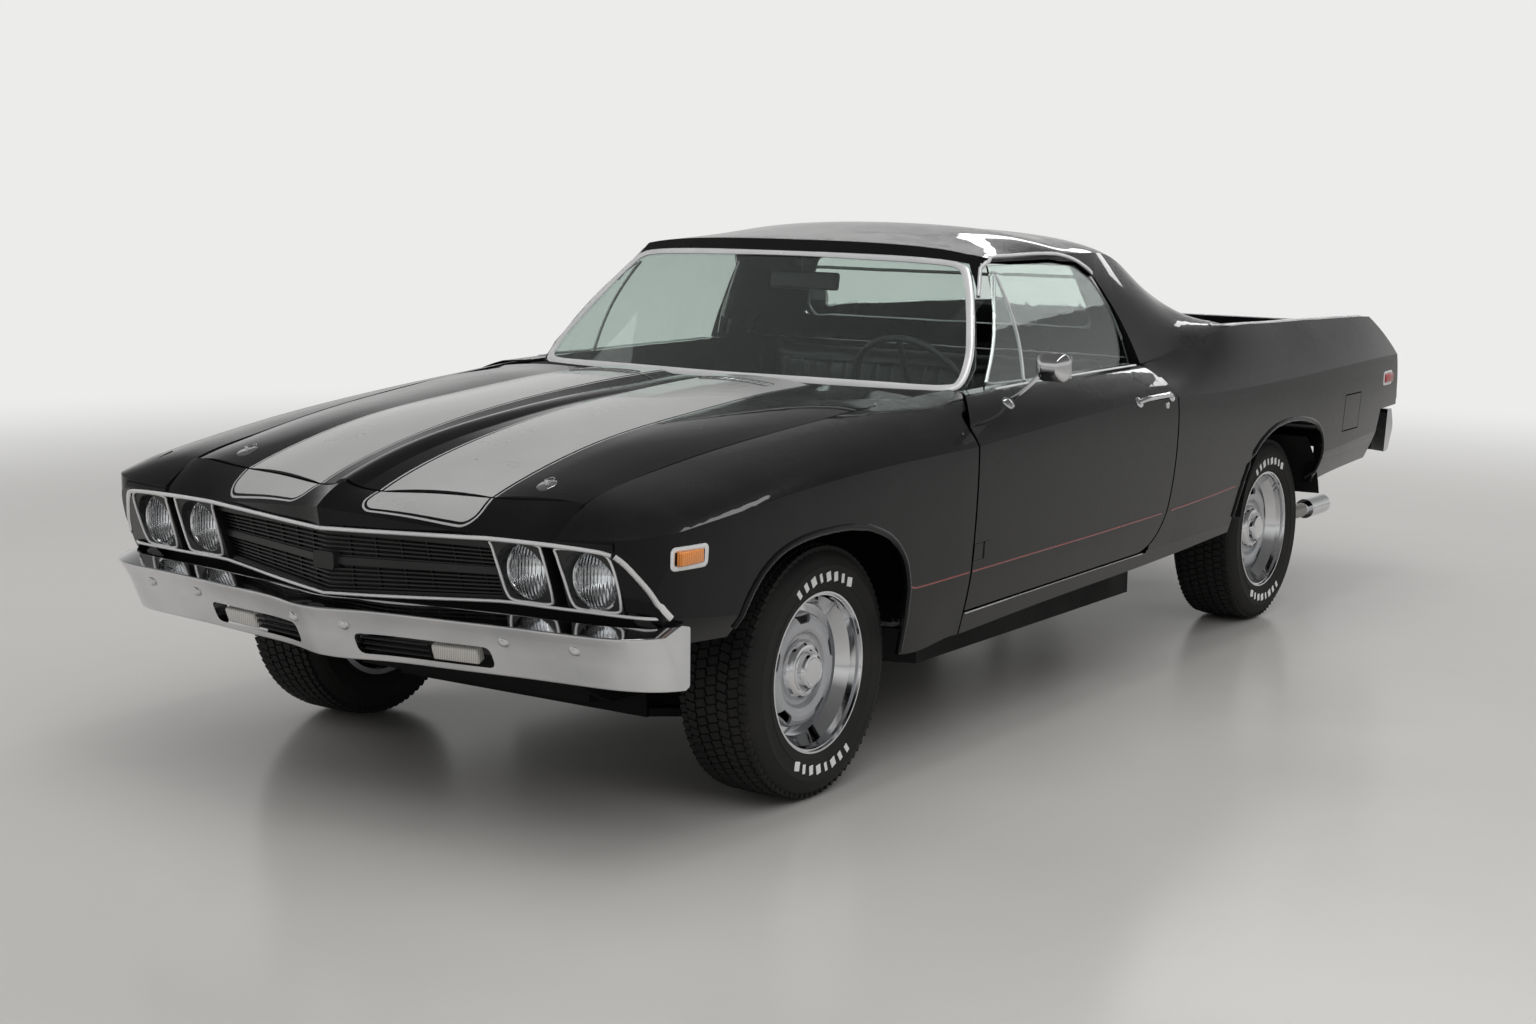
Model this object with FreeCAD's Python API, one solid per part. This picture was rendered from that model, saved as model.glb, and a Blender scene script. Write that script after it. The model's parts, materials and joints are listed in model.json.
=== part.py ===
import FreeCAD, Part
import math
import os

# A two-door coupe utility car of the late nineteen sixties: a car cab with an open load bed behind it.
# Millimetres. +Z is up, the front of the car faces -Y, the driver's side is +X.
# The datum is on the ground, on the centre line, halfway along the body.

Vector = FreeCAD.Vector
os.makedirs("parts", exist_ok=True)

# Driving sizes
wheelbase = 2946.0
front_axle_place = -1685.0
half_width = 958.0
roof_height = 1412.0
panel_gap = 9.0
overrun = 40.0
hair_gap = 0.3
touch_overlap = 4.0

# Wheels and tyres
tyre_radius = 327.0
tyre_half_width = 120.0
tread_half_width = 88.0
tyre_side_shares = [(0.90, 0.658), (0.955, 0.704), (0.990, 0.752), (1.0, 0.800), (0.985, 0.860), (0.945,
                                                                                                  0.915),
                    (0.885, 0.955), (0.820, 0.982)]
bead_radius = 197.0
flange_radius = 207.0
flange_thickness = 7.0
rim_half_width = 106.0
rim_wall = 5.0
rim_drop = 22.0
half_track_share = 0.78288
half_track = half_track_share * half_width
disc_recess = 66.0
disc_radius = 150.0
disc_thickness = 7.0
disc_dish = 20.0
disc_shares = [(-0.50, 1.0), (-0.10, 0.990), (0.40, 0.968), (0.75, 0.930), (0.95, 0.870), (1.0, 0.790),
               (0.96, 0.710),
               (0.80, 0.660), (0.45, 0.630), (0.28, 0.600), (0.25, 0.480)]
slot_count = 5
slot_length = 70.0
slot_foot = 40.0
slot_outer_radius = 146.0
slot_inner_radius = 121.0
slot_round = 5.0
bead_land = 30.0
well_slope = 16.0
hub_bore_wall = 43.0
cap_radius = 80.0
cap_height = 50.0
cap_shares = [(0.0, 0.0), (0.0, 1.0), (0.16, 1.0), (0.30, 0.955), (0.44, 0.90), (0.55, 0.82), (0.58, 0.74),
              (0.56, 0.68), (0.60, 0.63), (0.80, 0.59), (0.93, 0.54), (0.98, 0.46), (0.95, 0.42), (0.95,
                                                                                                   0.0)]
hub_radius = 62.0
hub_length = 66.0
spindle_radius = 24.0
spindle_clearance = 0.6

# Axles and steering
kingpin_inset = 58.0
knuckle_height = 250.0
knuckle_radius = 26.0
steering_arm_length = 138.0
steering_arm_half = 17.0
steering_arm_drop = 30.0
steering_arm_thickness = 30.0
hub_set_back = 8.0
brake_radius = 116.0
brake_thickness = 22.0
arm_thickness = 22.0
arm_tip_half = 20.0
arm_tip_length = 120.0
arm_root_width = 60.0
arm_root_half = 150.0
axle_tube_radius = 38.0
differential_radius = 135.0
differential_length = 230.0
differential_shares = [(-0.5, 0.0), (-0.5, 0.45), (-0.40, 0.72), (-0.25, 0.92), (-0.10, 1.0), (0.10, 1.0),
                       (0.25, 0.92), (0.40, 0.72), (0.5, 0.45), (0.5, 0.0)]
drum_radius = 150.0
drum_length = 64.0
shaft_radius = 35.0

# Frame
rail_width = 76.0
rail_depth = 96.0
cross_depth = 26.0
front_rail_place_share = 0.40919
front_rail_place = front_rail_place_share * half_width
middle_rail_place_share = 0.73069
middle_rail_place = middle_rail_place_share * half_width
rear_rail_place_share = 0.54280
rear_rail_place = rear_rail_place_share * half_width
rail_height_share = 0.18555
rail_height = rail_height_share * roof_height
crossmember_length = 90.0

# Body sections
skin_thickness = 13.0
crease_inset = 15.0
sill_tuck = 52.0
fender_round_share = 0.74
fender_fall_share = 0.16
door_round_share = 0.60
door_fall_share = 0.22
rail_round_share = 0.62
rail_fall_share = 0.44
side_bulge_share = 0.35
side_bulge = 9.0
curve_accuracy_share = 0.0001

# Body lines: station as a share of the wheelbase behind the front axle, then the line's
# place out from the centre as a share of half_width, then its height as a share of roof_height
shoulder_shares = [
    (-0.290, 0.880, 0.530), (-0.243, 0.934, 0.545), (-0.175, 0.967, 0.563), (-0.090, 0.985, 0.582),
    (0.029, 0.995, 0.597), (0.131, 0.998, 0.601), (0.210, 0.999, 0.603), (0.334, 1.000, 0.616),
    (0.470, 1.000, 0.627), (0.572, 1.000, 0.630), (0.653, 1.000, 0.627), (0.810, 1.000, 0.621),
    (1.000, 1.000, 0.624), (1.149, 0.997, 0.629), (1.251, 0.989, 0.632), (1.351, 0.973, 0.632),
    (1.440, 0.950, 0.631)]
crease_shares = [
    (-0.290, 0.425), (-0.158, 0.393), (0.000, 0.379), (0.131, 0.362), (0.368, 0.366), (0.572, 0.370),
    (0.810, 0.381), (1.000, 0.397), (1.149, 0.412), (1.251, 0.422), (1.440, 0.432)]
bottom_shares = [
    (-0.290, 0.352), (-0.158, 0.351), (0.000, 0.300), (0.100, 0.232), (0.210, 0.233), (0.360, 0.243),
    (0.500, 0.247), (0.690, 0.256), (0.850, 0.268), (1.000, 0.300), (1.100, 0.330), (1.440, 0.357)]
seam_shares = [
    (-0.290, 0.681, 0.508), (-0.262, 0.680, 0.544), (-0.233, 0.679, 0.579), (-0.181, 0.681, 0.603),
    (-0.131, 0.692, 0.621), (-0.063, 0.714, 0.640), (0.044, 0.744, 0.663), (0.131, 0.765, 0.677),
    (0.210, 0.781, 0.688), (0.300, 0.797, 0.694)]
belt_shares = [(0.200, 0.875, 0.686), (0.334, 0.873, 0.693), (0.572, 0.873, 0.698), (0.680, 0.873, 0.698)]
bed_rail_shares = [
    (0.640, 0.873, 0.698), (0.720, 0.875, 0.716), (0.800, 0.876, 0.743), (0.860, 0.877, 0.757),
    (1.000, 0.878, 0.755), (1.149, 0.880, 0.749), (1.251, 0.881, 0.744), (1.351, 0.879, 0.737),
    (1.440, 0.872, 0.728)]

# Stations where the panels are divided, as shares of the wheelbase
fender_stations_share = [-0.285, -0.262, -0.236, -0.205, -0.158, -0.090, -0.010, 0.070, 0.140, 0.210, 0.285]
door_front_share = 0.2115
door_rear_share = 0.650
far_ahead_share = -0.40
far_behind_share = 1.60


def along(share):
    return front_axle_place + share * wheelbase


def spot(shares):
    """Place given by its shares: out from the centre, behind the front axle, up from the ground."""
    out, back, up = shares
    return Vector(out * half_width, along(back), up * roof_height)


rear_axle_place = front_axle_place + wheelbase
far_ahead = along(far_ahead_share)
far_behind = along(far_behind_share)


def follow(rows, share):
    """Smooth line through the rows of a share table, as a list of the other columns."""
    last = len(rows) - 1
    place = min(max(share, rows[0][0]), rows[last][0])
    index = 0
    while index < last - 1 and place > rows[index + 1][0]:
        index += 1
    low, high = rows[index], rows[index + 1]
    width = high[0] - low[0]
    part = (place - low[0]) / width
    result = []
    for column in range(1, len(low)):
        def slope(at):
            if at == 0:
                return (rows[1][column] - rows[0][column]) / (rows[1][0] - rows[0][0])
            if at == last:
                return (rows[last][column] - rows[last - 1][column]) / (rows[last][0] - rows[last - 1][0])
            before, here, after = rows[at - 1], rows[at], rows[at + 1]
            left = (here[column] - before[column]) / (here[0] - before[0])
            right = (after[column] - here[column]) / (after[0] - here[0])
            share_left = (after[0] - here[0]) / (after[0] - before[0])
            return left * share_left + right * (1 - share_left)
        start, end = slope(index) * width, slope(index + 1) * width
        square, cube = part * part, part * part * part
        result.append((2 * cube - 3 * square + 1) * low[column] + (cube - 2 * square + part) * start
                      + (3 * square - 2 * cube) * high[column] + (cube - square) * end)
    return result


def body_point(rows, share):
    out, up = follow(rows, share)
    return Vector(out * half_width, along(share), up * roof_height)


def side_skin(share, height):
    """How far out the body side lies at a height between its shoulder and its lower crease."""
    shoulder, crease = body_point(shoulder_shares, share), crease_point(share)
    middle = between(shoulder, crease, side_bulge_share) + Vector(side_bulge, 0, 0)
    low, high = 0.0, 1.0
    point = shoulder
    while high - low > curve_accuracy_share:
        part = (low + high) / 2
        point = between(between(shoulder, middle, part), between(middle, crease, part), part)
        if point.z > height:
            low = part
        else:
            high = part
    return point.x


def crease_point(share):
    shoulder = body_point(shoulder_shares, share)
    return Vector(shoulder.x - crease_inset, shoulder.y, follow(crease_shares, share)[0] * roof_height)


def sill_point(share):
    shoulder = body_point(shoulder_shares, share)
    return Vector(shoulder.x - sill_tuck, shoulder.y, follow(bottom_shares, share)[0] * roof_height)


# Small helpers for shapes
def straight(start, end):
    return Part.LineSegment(start, end).toShape()


def bent(start, control, end):
    curve = Part.BezierCurve()
    curve.setPoles([start, control, end])
    return curve.toShape()


def between(start, end, share):
    return start + (end - start) * share


def box(x0, x1, y0, y1, z0, z1):
    return Part.makeBox(x1 - x0, y1 - y0, z1 - z0, Vector(x0, y0, z0))


def mirrored(shape):
    return shape.mirror(Vector(0, 0, 0), Vector(1, 0, 0))


def both(shape):
    return Part.makeCompound([shape, mirrored(shape)])


def fused(shapes):
    result = shapes[0]
    if len(shapes) > 1:
        result = shapes[0].multiFuse(shapes[1:])
    return result.removeSplitter()


def side_prism(outline, x0, x1):
    """Closed outline given as (y, z) pairs, drawn out from x0 to x1."""
    points = [Vector(x0, y, z) for y, z in outline]
    face = Part.Face(Part.makePolygon(points + [points[0]]))
    return face.extrude(Vector(x1 - x0, 0, 0))


def plan_prism(outline, z0, z1):
    points = [Vector(x, y, z0) for x, y in outline]
    face = Part.Face(Part.makePolygon(points + [points[0]]))
    return face.extrude(Vector(0, 0, z1 - z0))


def smooth_side_prism(curve_points, closing_points, x0, x1):
    """Outline in the side view: a smooth curve through curve_points, closed by straight runs."""
    curve = Part.BSplineCurve()
    curve.interpolate([Vector(x0, y, z) for y, z in curve_points])
    corners = [curve_points[-1]] + closing_points + [curve_points[0]]
    edges = [curve.toShape()]
    for (y0, z0), (y1, z1) in zip(corners, corners[1:]):
        edges.append(straight(Vector(x0, y0, z0), Vector(x0, y1, z1)))
    return Part.Face(Part.Wire(edges)).extrude(Vector(x1 - x0, 0, 0))


def rounded_wire(corners, reaches):
    """Closed outline through the corners, each one rounded over its own reach along both of its sides."""
    edges, ends = [], []
    count = len(corners)
    for index, corner in enumerate(corners):
        before, after = corners[index - 1], corners[(index + 1) % count]
        reach = reaches[index]
        start = corner + (before - corner).normalize() * reach
        end = corner + (after - corner).normalize() * reach
        ends.append((start, end))
    for index, corner in enumerate(corners):
        start, end = ends[index]
        if reaches[index] > 0:
            edges.append(bent(start, corner, end))
        edges.append(straight(end, ends[(index + 1) % count][0]))
    return Part.Wire(edges)


def round_side_prism(outline, reaches, x0, x1):
    """Outline of (y, z) pairs with rounded corners, drawn out from x0 to x1."""
    wire = rounded_wire([Vector(x0, y, z) for y, z in outline], reaches)
    return Part.Face(wire).extrude(Vector(x1 - x0, 0, 0))


def round_across_prism(outline, reaches, y0, y1):
    """Outline of (x, z) pairs with rounded corners, drawn out along the car."""
    wire = rounded_wire([Vector(x, y0, z) for x, z in outline], reaches)
    return Part.Face(wire).extrude(Vector(0, y1 - y0, 0))


def loft(wires, ruled=False):
    return Part.makeLoft(wires, True, ruled)


def turned(outline, centre, axis):
    """Solid of revolution: outline as (along the axis, radius) pairs about the X axis, then placed."""
    points = [Vector(a, 0, r) for a, r in outline]
    face = Part.Face(Part.makePolygon(points + [points[0]]))
    solid = face.revolve(Vector(0, 0, 0), Vector(1, 0, 0), 360)
    solid.Placement = FreeCAD.Placement(centre, FreeCAD.Rotation(Vector(1, 0, 0), axis))
    return solid


def rod(start, end, radius):
    axis = end - start
    return Part.makeCylinder(radius, axis.Length, start, axis)


def beam(stations, width, depth):
    """Straight-sided rail through (x, y, z) centre points, with a rectangular section."""
    wires = []
    for x, y, z in stations:
        half, tall = width / 2, depth / 2
        corners = [Vector(x - half, y, z - tall), Vector(x + half, y, z - tall),
                   Vector(x + half, y, z + tall), Vector(x - half, y, z + tall)]
        wires.append(Part.makePolygon(corners + [corners[0]]))
    return loft(wires, True)


def ahead_of(first, second, third):
    """Large block on the front side of the plane through three points."""
    normal = (second - first).cross(third - first)
    normal.normalize()
    if normal.y > 0:
        normal = normal * -1
    across = normal.cross(Vector(0, 0, 1))
    across.normalize()
    upward = across.cross(normal)
    start = first - across * half_width - upward * half_width
    corners = [start, start + across * half_width * 2,
               start + across * half_width * 2 + upward * half_width * 2,
               start + upward * half_width * 2]
    return Part.Face(Part.makePolygon(corners + [start])).extrude(normal * half_width)


def largest(shape):
    return max(shape.Solids, key=lambda solid: solid.Volume)


def save(name, shape):
    shape.exportStep("parts/" + name + ".step")
    print(name, len(shape.Solids), round(shape.Volume), shape.isValid())


# Body sides
def skin_edges(top, shoulder, crease, sill, round_share, fall_share):
    reach, fall = shoulder.x - top.x, top.z - shoulder.z
    top_control = Vector(top.x + reach * round_share, top.y, top.z - fall * fall_share)
    middle = between(shoulder, crease, side_bulge_share) + Vector(side_bulge, 0, 0)
    low = between(crease, sill, side_bulge_share) + Vector(side_bulge / 2, 0, 0)
    return [bent(top, top_control, shoulder), bent(shoulder, middle, crease), bent(crease, low, sill)]


def shell_section(share, rows, round_share, fall_share, thickness):
    top, shoulder = body_point(rows, share), body_point(shoulder_shares, share)
    crease, sill = crease_point(share), sill_point(share)
    outer = skin_edges(top, shoulder, crease, sill, round_share, fall_share)
    inset = Vector(-thickness, 0, 0)
    inner = skin_edges(top + Vector(0, 0, -thickness), shoulder + Vector(-thickness, 0, -thickness / 2),
                       crease + inset, sill + inset, round_share, fall_share)
    closing = [straight(sill, sill + inset)]
    inner_edges = [edge for edge in reversed(inner)]
    ending = [straight(top + Vector(0, 0, -thickness), top)]
    return Part.Wire(Part.__sortEdges__(outer + closing + inner_edges + ending))


def thick_section(share, rows, round_share, fall_share, inner_x):
    """Section filled from the outer skin to an upright inner face."""
    top, shoulder = body_point(rows, share), body_point(shoulder_shares, share)
    crease, sill = crease_point(share), sill_point(share)
    outer = skin_edges(top, shoulder, crease, sill, round_share, fall_share)
    low = Vector(inner_x, top.y, sill.z)
    high = Vector(inner_x, top.y, top.z)
    closing = [straight(sill, low), straight(low, high), straight(high, top)]
    return Part.Wire(Part.__sortEdges__(outer + closing))


# Wheel arches, as (place along the wheelbase, height) shares
front_arch_shares = [
    (-0.152, 0.340), (-0.148, 0.392), (-0.136, 0.436), (-0.122, 0.464), (-0.098, 0.489), (-0.060, 0.503),
    (-0.014, 0.504), (0.024, 0.494), (0.059, 0.469), (0.082, 0.433), (0.096, 0.385), (0.101, 0.330),
    (0.104, 0.260), (0.105, 0.200)]
rear_arch_shares = [
    (0.842, 0.220), (0.846, 0.320), (0.852, 0.385), (0.872, 0.444), (0.912, 0.494), (0.985, 0.518),
    (1.050, 0.506), (1.095, 0.466), (1.108, 0.414), (1.104, 0.360), (1.100, 0.300), (1.098, 0.220)]


def arch_cut(shares, x0, x1):
    points = [(along(s), h * roof_height) for s, h in shares]
    low = [(points[-1][0], 0.0), (points[0][0], 0.0)]
    return smooth_side_prism(points, low, x0, x1)


arch_inner_x_share = 0.58455
arch_inner_x = arch_inner_x_share * half_width


def trim_side(shape, shares):
    return shape.cut(arch_cut(shares, arch_inner_x, half_width + overrun))


# Fenders
fender_nose_inner_share = 0.83612
fender_nose_inner = fender_nose_inner_share * half_width
fender_nose_rear_share = -0.215
fender_tip_shares = [(0.678, 0.2705), (0.834, 0.2655), (0.892, 0.2590), (0.930, 0.2430), (0.950, 0.2210)]
lamp_face_top_share = (0.8340, -0.26544, 0.51558)
lamp_face_top = spot(lamp_face_top_share)
lamp_face_bottom_share = (0.8132, -0.24779, 0.41147)
lamp_face_bottom = spot(lamp_face_bottom_share)
lamp_face_corner_share = (0.9447, -0.23591, 0.41006)
lamp_face_corner = spot(lamp_face_corner_share)
fender_corner_shares = [(-0.300, 0.416), (-0.245, 0.416), (-0.2235, 0.372), (-0.206, 0.356), (-0.150, 0.352)]
door_cut_out_share = 0.96555
door_cut_out = door_cut_out_share * half_width
door_cut_in_share = 0.83507
door_cut_in = door_cut_in_share * half_width
door_cut_back = 178.0


def front_cut(offset):
    """Everything behind the seam of fender and door: square below the shoulder, slanted in plan above."""
    y = along(door_front_share) + offset
    wide, far = half_width + overrun, far_behind
    split = body_point(shoulder_shares, door_front_share).z
    low = plan_prism([(0.0, y), (wide, y), (wide, far), (0.0, far)], -overrun, split)
    high = plan_prism([(door_cut_out, y), (wide, y), (wide, far), (0.0, far), (0.0, y + door_cut_back),
                       (door_cut_in, y + door_cut_back)], split, roof_height + overrun)
    return low.fuse(high)


def make_fender():
    wires = [shell_section(s, seam_shares, fender_round_share, fender_fall_share, skin_thickness)
             for s in fender_stations_share]
    skin = loft(wires)
    nose_wires = [thick_section(s, seam_shares, fender_round_share, fender_fall_share, arch_inner_x)
                  for s in fender_stations_share[:4]]
    nose = loft(nose_wires)
    keep = box(fender_nose_inner, half_width + overrun, far_ahead, along(fender_nose_rear_share), 0,
               roof_height)
    nose = nose.common(keep)
    fender = fused([skin, nose])
    tip = [(out * half_width, along(-back)) for out, back in fender_tip_shares]
    curve = Part.BSplineCurve()
    curve.interpolate([Vector(x, y, 0) for x, y in tip])
    far = far_ahead
    corners = [tip[-1], (half_width + overrun, tip[-1][1]), (half_width + overrun, far), (tip[0][0], far),
               tip[0]]
    edges = [curve.toShape()]
    for (xa, ya), (xb, yb) in zip(corners, corners[1:]):
        edges.append(straight(Vector(xa, ya, 0), Vector(xb, yb, 0)))
    rounding = Part.Face(Part.Wire(edges)).extrude(Vector(0, 0, roof_height))
    fender = fender.cut(rounding)
    fender = fender.cut(ahead_of(lamp_face_top, lamp_face_bottom, lamp_face_corner))
    low = [(along(s), h * roof_height) for s, h in fender_corner_shares]
    fender = fender.cut(side_prism(low + [(low[-1][0], 0.0), (low[0][0], 0.0)], 0.0, half_width + overrun))
    fender = trim_side(fender, front_arch_shares)
    fender = fender.cut(front_cut(-panel_gap / 2))
    x, y = hinge_place()
    split = body_point(shoulder_shares, door_front_share).z
    return fender.cut(Part.makeCylinder(hinge_sweep, roof_height, Vector(x, y, split)))


# Doors
door_inner_x_share = 0.81628
door_inner_x = door_inner_x_share * half_width
door_step_x_share = 0.94468
door_step_x = door_step_x_share * half_width
door_step = 20.0
door_stations_share = [0.205, 0.290, 0.380, 0.470, 0.560, 0.660]
door_step_front_share = 0.50
door_chamfer_x_share = 0.93528
door_chamfer_x = door_chamfer_x_share * half_width
door_chamfer_back = 70.0
door_foot_share = 0.6135
rocker_seam_front_share = 0.273
rocker_seam_rear_share = 0.285
hinge_inset = 19.0
hinge_sweep = 64.0
hinge_back = 57.0


door_rear_shares = [(0.6400, 0.760), (0.6425, 0.700), (0.6500, 0.640), (0.6535, 0.600), (0.6550, 0.530),
                    (0.6510, 0.425), (0.6430, 0.364), (0.6290, 0.318), (0.6080, 0.293), (0.5850, 0.2865)]


def door_rear_line(offset):
    return [(along(s) + offset, h * roof_height) for s, h in door_rear_shares]


def seam_height(y):
    share = (y - along(door_front_share)) / (along(door_rear_share) - along(door_front_share))
    return roof_height * (rocker_seam_front_share
                          + (rocker_seam_rear_share - rocker_seam_front_share) * share)


def behind_door(offset):
    """Everything behind and below the door's rear edge."""
    points = door_rear_line(offset)
    front = along(door_front_share)
    low = seam_height(front) - offset / 2
    closing = [(front - half_width, low), (front - half_width, -overrun),
               (far_behind, -overrun), (far_behind, points[0][1])]
    return smooth_side_prism([(y, z - offset / 2) for y, z in points], closing, 0.0, half_width + overrun)


def make_door():
    wires = [thick_section(s, belt_shares, door_round_share, door_fall_share, door_inner_x)
             for s in door_stations_share]
    door = loft(wires)
    door = door.common(front_cut(panel_gap / 2))
    door = door.cut(behind_door(-panel_gap / 2))
    front = along(door_front_share) + panel_gap / 2
    chamfer = plan_prism([(door_chamfer_x, front - overrun), (door_chamfer_x, front),
                          (door_inner_x - overrun, front + door_chamfer_back + overrun),
                          (door_inner_x - overrun, front - overrun)], 0.0, roof_height)
    door = door.cut(chamfer)
    step = behind_door(-panel_gap / 2 - door_step)
    door = door.cut(step.common(box(0, door_step_x, along(door_step_front_share), far_behind,
                                    seam_height(0.0), roof_height)))
    for z in hinge_heights():
        door = door.cut(hinge_pocket(z))
    return door


# Side glass
glass_thickness = 6.0
glass_shares = [(0.8400, 0.690), (0.8230, 0.740), (0.7800, 0.815), (0.7220, 0.880), (0.6570, 0.938)]
glass_outline_shares = [(0.306, 0.690), (0.410, 0.934), (0.5600, 0.934), (0.6020, 0.924), (0.6230, 0.890),
                        (0.6330, 0.800), (0.6400, 0.690)]
glass_front_share = 0.20
glass_rear_share = 0.70
glass_clearance = 10.0
window_cut_x_share = 0.58455
window_cut_x = window_cut_x_share * half_width


def glass_section(y, outset, thickness):
    points = [Vector(out * half_width + outset, y, up * roof_height) for out, up in glass_shares]
    curve = Part.BSplineCurve()
    curve.interpolate(points)
    inner = Part.BSplineCurve()
    inner.interpolate([p - Vector(thickness, 0, 0) for p in reversed(points)])
    edges = [curve.toShape(), straight(points[-1], points[-1] - Vector(thickness, 0, 0)), inner.toShape(),
             straight(points[0] - Vector(thickness, 0, 0), points[0])]
    return Part.Wire(edges)


def side_sheet(outset, thickness):
    y0, y1 = along(glass_front_share), along(glass_rear_share)
    return Part.Face(glass_section(y0, outset, thickness)).extrude(Vector(0, y1 - y0, 0))


def window_outline(grow):
    rows = [(along(s), h * roof_height) for s, h in glass_outline_shares]
    centre_y = sum(y for y, z in rows) / len(rows)
    centre_z = sum(z for y, z in rows) / len(rows)
    grown = []
    for y, z in rows:
        grown.append((y + (grow if y > centre_y else -grow), z + (grow if z > centre_z else -grow)))
    return grown


def make_door_glass(door):
    sheet = side_sheet(0.0, glass_thickness)
    rows = window_outline(-glass_clearance)
    rows[0] = (rows[0][0], rows[0][1] - glass_clearance * 2)
    rows[-1] = (rows[-1][0], rows[-1][1] - glass_clearance * 2)
    return sheet.common(side_prism(rows, 0.0, half_width)).cut(door)


# Cab: roof, pillars and the sail panels that run down to the bed
crown_shares = [
    (0.240, 0.940), (0.330, 0.955), (0.400, 0.970), (0.460, 0.987), (0.530, 0.998), (0.590, 1.000),
    (0.660, 0.992), (0.700, 0.982), (0.752, 0.940), (0.806, 0.880), (0.837, 0.840), (0.900, 0.800)]
drip_shares = [
    (0.240, 0.662, 0.940), (0.400, 0.662, 0.941), (0.560, 0.662, 0.942), (0.640, 0.662, 0.944),
    (0.700, 0.660, 0.932), (0.752, 0.664, 0.885), (0.806, 0.694, 0.824), (0.837, 0.743, 0.791),
    (0.861, 0.799, 0.7735), (0.885, 0.838, 0.7620)]
cab_stations_share = [0.250, 0.340, 0.430, 0.520, 0.600, 0.660, 0.706, 0.752, 0.800, 0.837, 0.861, 0.885]
sail_foot_out_share = 0.8745
side_round = 34.0
roof_edge_round_share = 0.80
room_stations_share = [0.200, 0.250, 0.340, 0.430, 0.520, 0.600, 0.660, 0.706, 0.752]
bed_space_front_share = 0.60
bed_space_rear_share = 0.93
rear_window_round = 24.0
cab_skin = 28.0
sail_thickness = 84.0
pillar_foot_share = (0.8121, 0.30041, 0.67989)
pillar_head_share = (0.6681, 0.41921, 0.93484)
pillar_side_share = (0.8507, 0.32077, 0.67989)
void_drop = 60.0
windshield_base_y_share = 0.29090
windshield_base_y = along(windshield_base_y_share)
windshield_base_z_share = 0.68697
windshield_base_z = windshield_base_z_share * roof_height
windshield_top_y_share = 0.41005
windshield_top_y = along(windshield_top_y_share)
windshield_top_z_share = 0.93555
windshield_top_z = windshield_top_z_share * roof_height
windshield_half_share = 0.79019
windshield_half = windshield_half_share * half_width
glass_rim = 11.0
glass_half = windshield_half + glass_rim
windshield_bow = 105.0
glass_set_back = 10.0
rear_wall_low_y_share = 0.71623
rear_wall_low_y = along(rear_wall_low_y_share)
rear_wall_low_z_share = 0.67989
rear_wall_low_z = rear_wall_low_z_share * roof_height
rear_wall_high_y_share = 0.68907
rear_wall_high_y = along(rear_wall_high_y_share)
rear_wall_high_z_share = 0.94193
rear_wall_high_z = rear_wall_high_z_share * roof_height
rear_wall_thickness = 30.0
rear_window_half_low_share = 0.60021
rear_window_half_low = rear_window_half_low_share * half_width
rear_window_half_high_share = 0.52192
rear_window_half_high = rear_window_half_high_share * half_width
rear_window_bottom_share = 0.75921
rear_window_bottom = rear_window_bottom_share * roof_height
rear_window_top_share = 0.90510
rear_window_top = rear_window_top_share * roof_height


def cab_section(share, inset, drop):
    """Section of the upper body: foot, side curve, drip edge and roof crown."""
    y = along(share)
    crown = follow(crown_shares, share)[0] * roof_height - inset
    foot_z = follow(bed_rail_shares, max(share, bed_rail_shares[0][0]))[1] * roof_height - drop
    foot = Vector(sail_foot_out_share * half_width - inset, y, foot_z)
    out, up = follow(drip_shares, share)
    drip = Vector(out * half_width - inset, y, min(up * roof_height, crown) - inset / 2)
    middle = between(foot, drip, 0.5)
    side = bent(foot, Vector(middle.x + side_round, y, middle.z), drip)
    top = bent(drip, Vector(drip.x * roof_edge_round_share, y, crown), Vector(0, y, crown))
    base = straight(foot, Vector(-foot.x, y, foot.z))
    return Part.Wire(Part.__sortEdges__([side, top, mirrored(top), mirrored(side), base]))


def cab_solid(stations, inset, drop):
    return loft([cab_section(s, inset, drop) for s in stations])


def windshield_lean():
    return Vector(0, windshield_top_y - windshield_base_y, windshield_top_z - windshield_base_z)


def leaning_band(front_offset, back_offset):
    """Bowed sheet along the windshield, between two offsets behind its outer face."""
    lean = windshield_lean()
    spread = windshield_half + overrun
    bow = windshield_bow * (spread / windshield_half) ** 2
    edges = []
    for offset in (front_offset, back_offset):
        ends_y = windshield_base_y + bow - windshield_bow + offset
        curve = Part.Arc(Vector(-spread, ends_y, windshield_base_z),
                         Vector(0, windshield_base_y - windshield_bow + offset, windshield_base_z),
                         Vector(spread, ends_y, windshield_base_z))
        edges.append(curve.toShape())
    for x in (-spread, spread):
        y = windshield_base_y + bow - windshield_bow
        edges.append(straight(Vector(x, y + front_offset, windshield_base_z),
                              Vector(x, y + back_offset, windshield_base_z)))
    band = Part.Face(Part.Wire(Part.__sortEdges__(edges)))
    band.translate(lean * -0.5)
    return band.extrude(lean * 2)


def rear_slab(front_offset, back_offset):
    """Leaning slab of the cab's back wall, between two offsets behind its front face."""
    lean_y, lean_z = rear_wall_high_y - rear_wall_low_y, rear_wall_high_z - rear_wall_low_z
    low_y, low_z = rear_wall_low_y - lean_y * 0.5, rear_wall_low_z - lean_z * 0.5
    high_y, high_z = rear_wall_high_y + lean_y * 0.5, rear_wall_high_z + lean_z * 0.5
    return side_prism([(low_y + front_offset, low_z), (low_y + back_offset, low_z),
                       (high_y + back_offset, high_z), (high_y + front_offset, high_z)],
                      -half_width, half_width)


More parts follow.
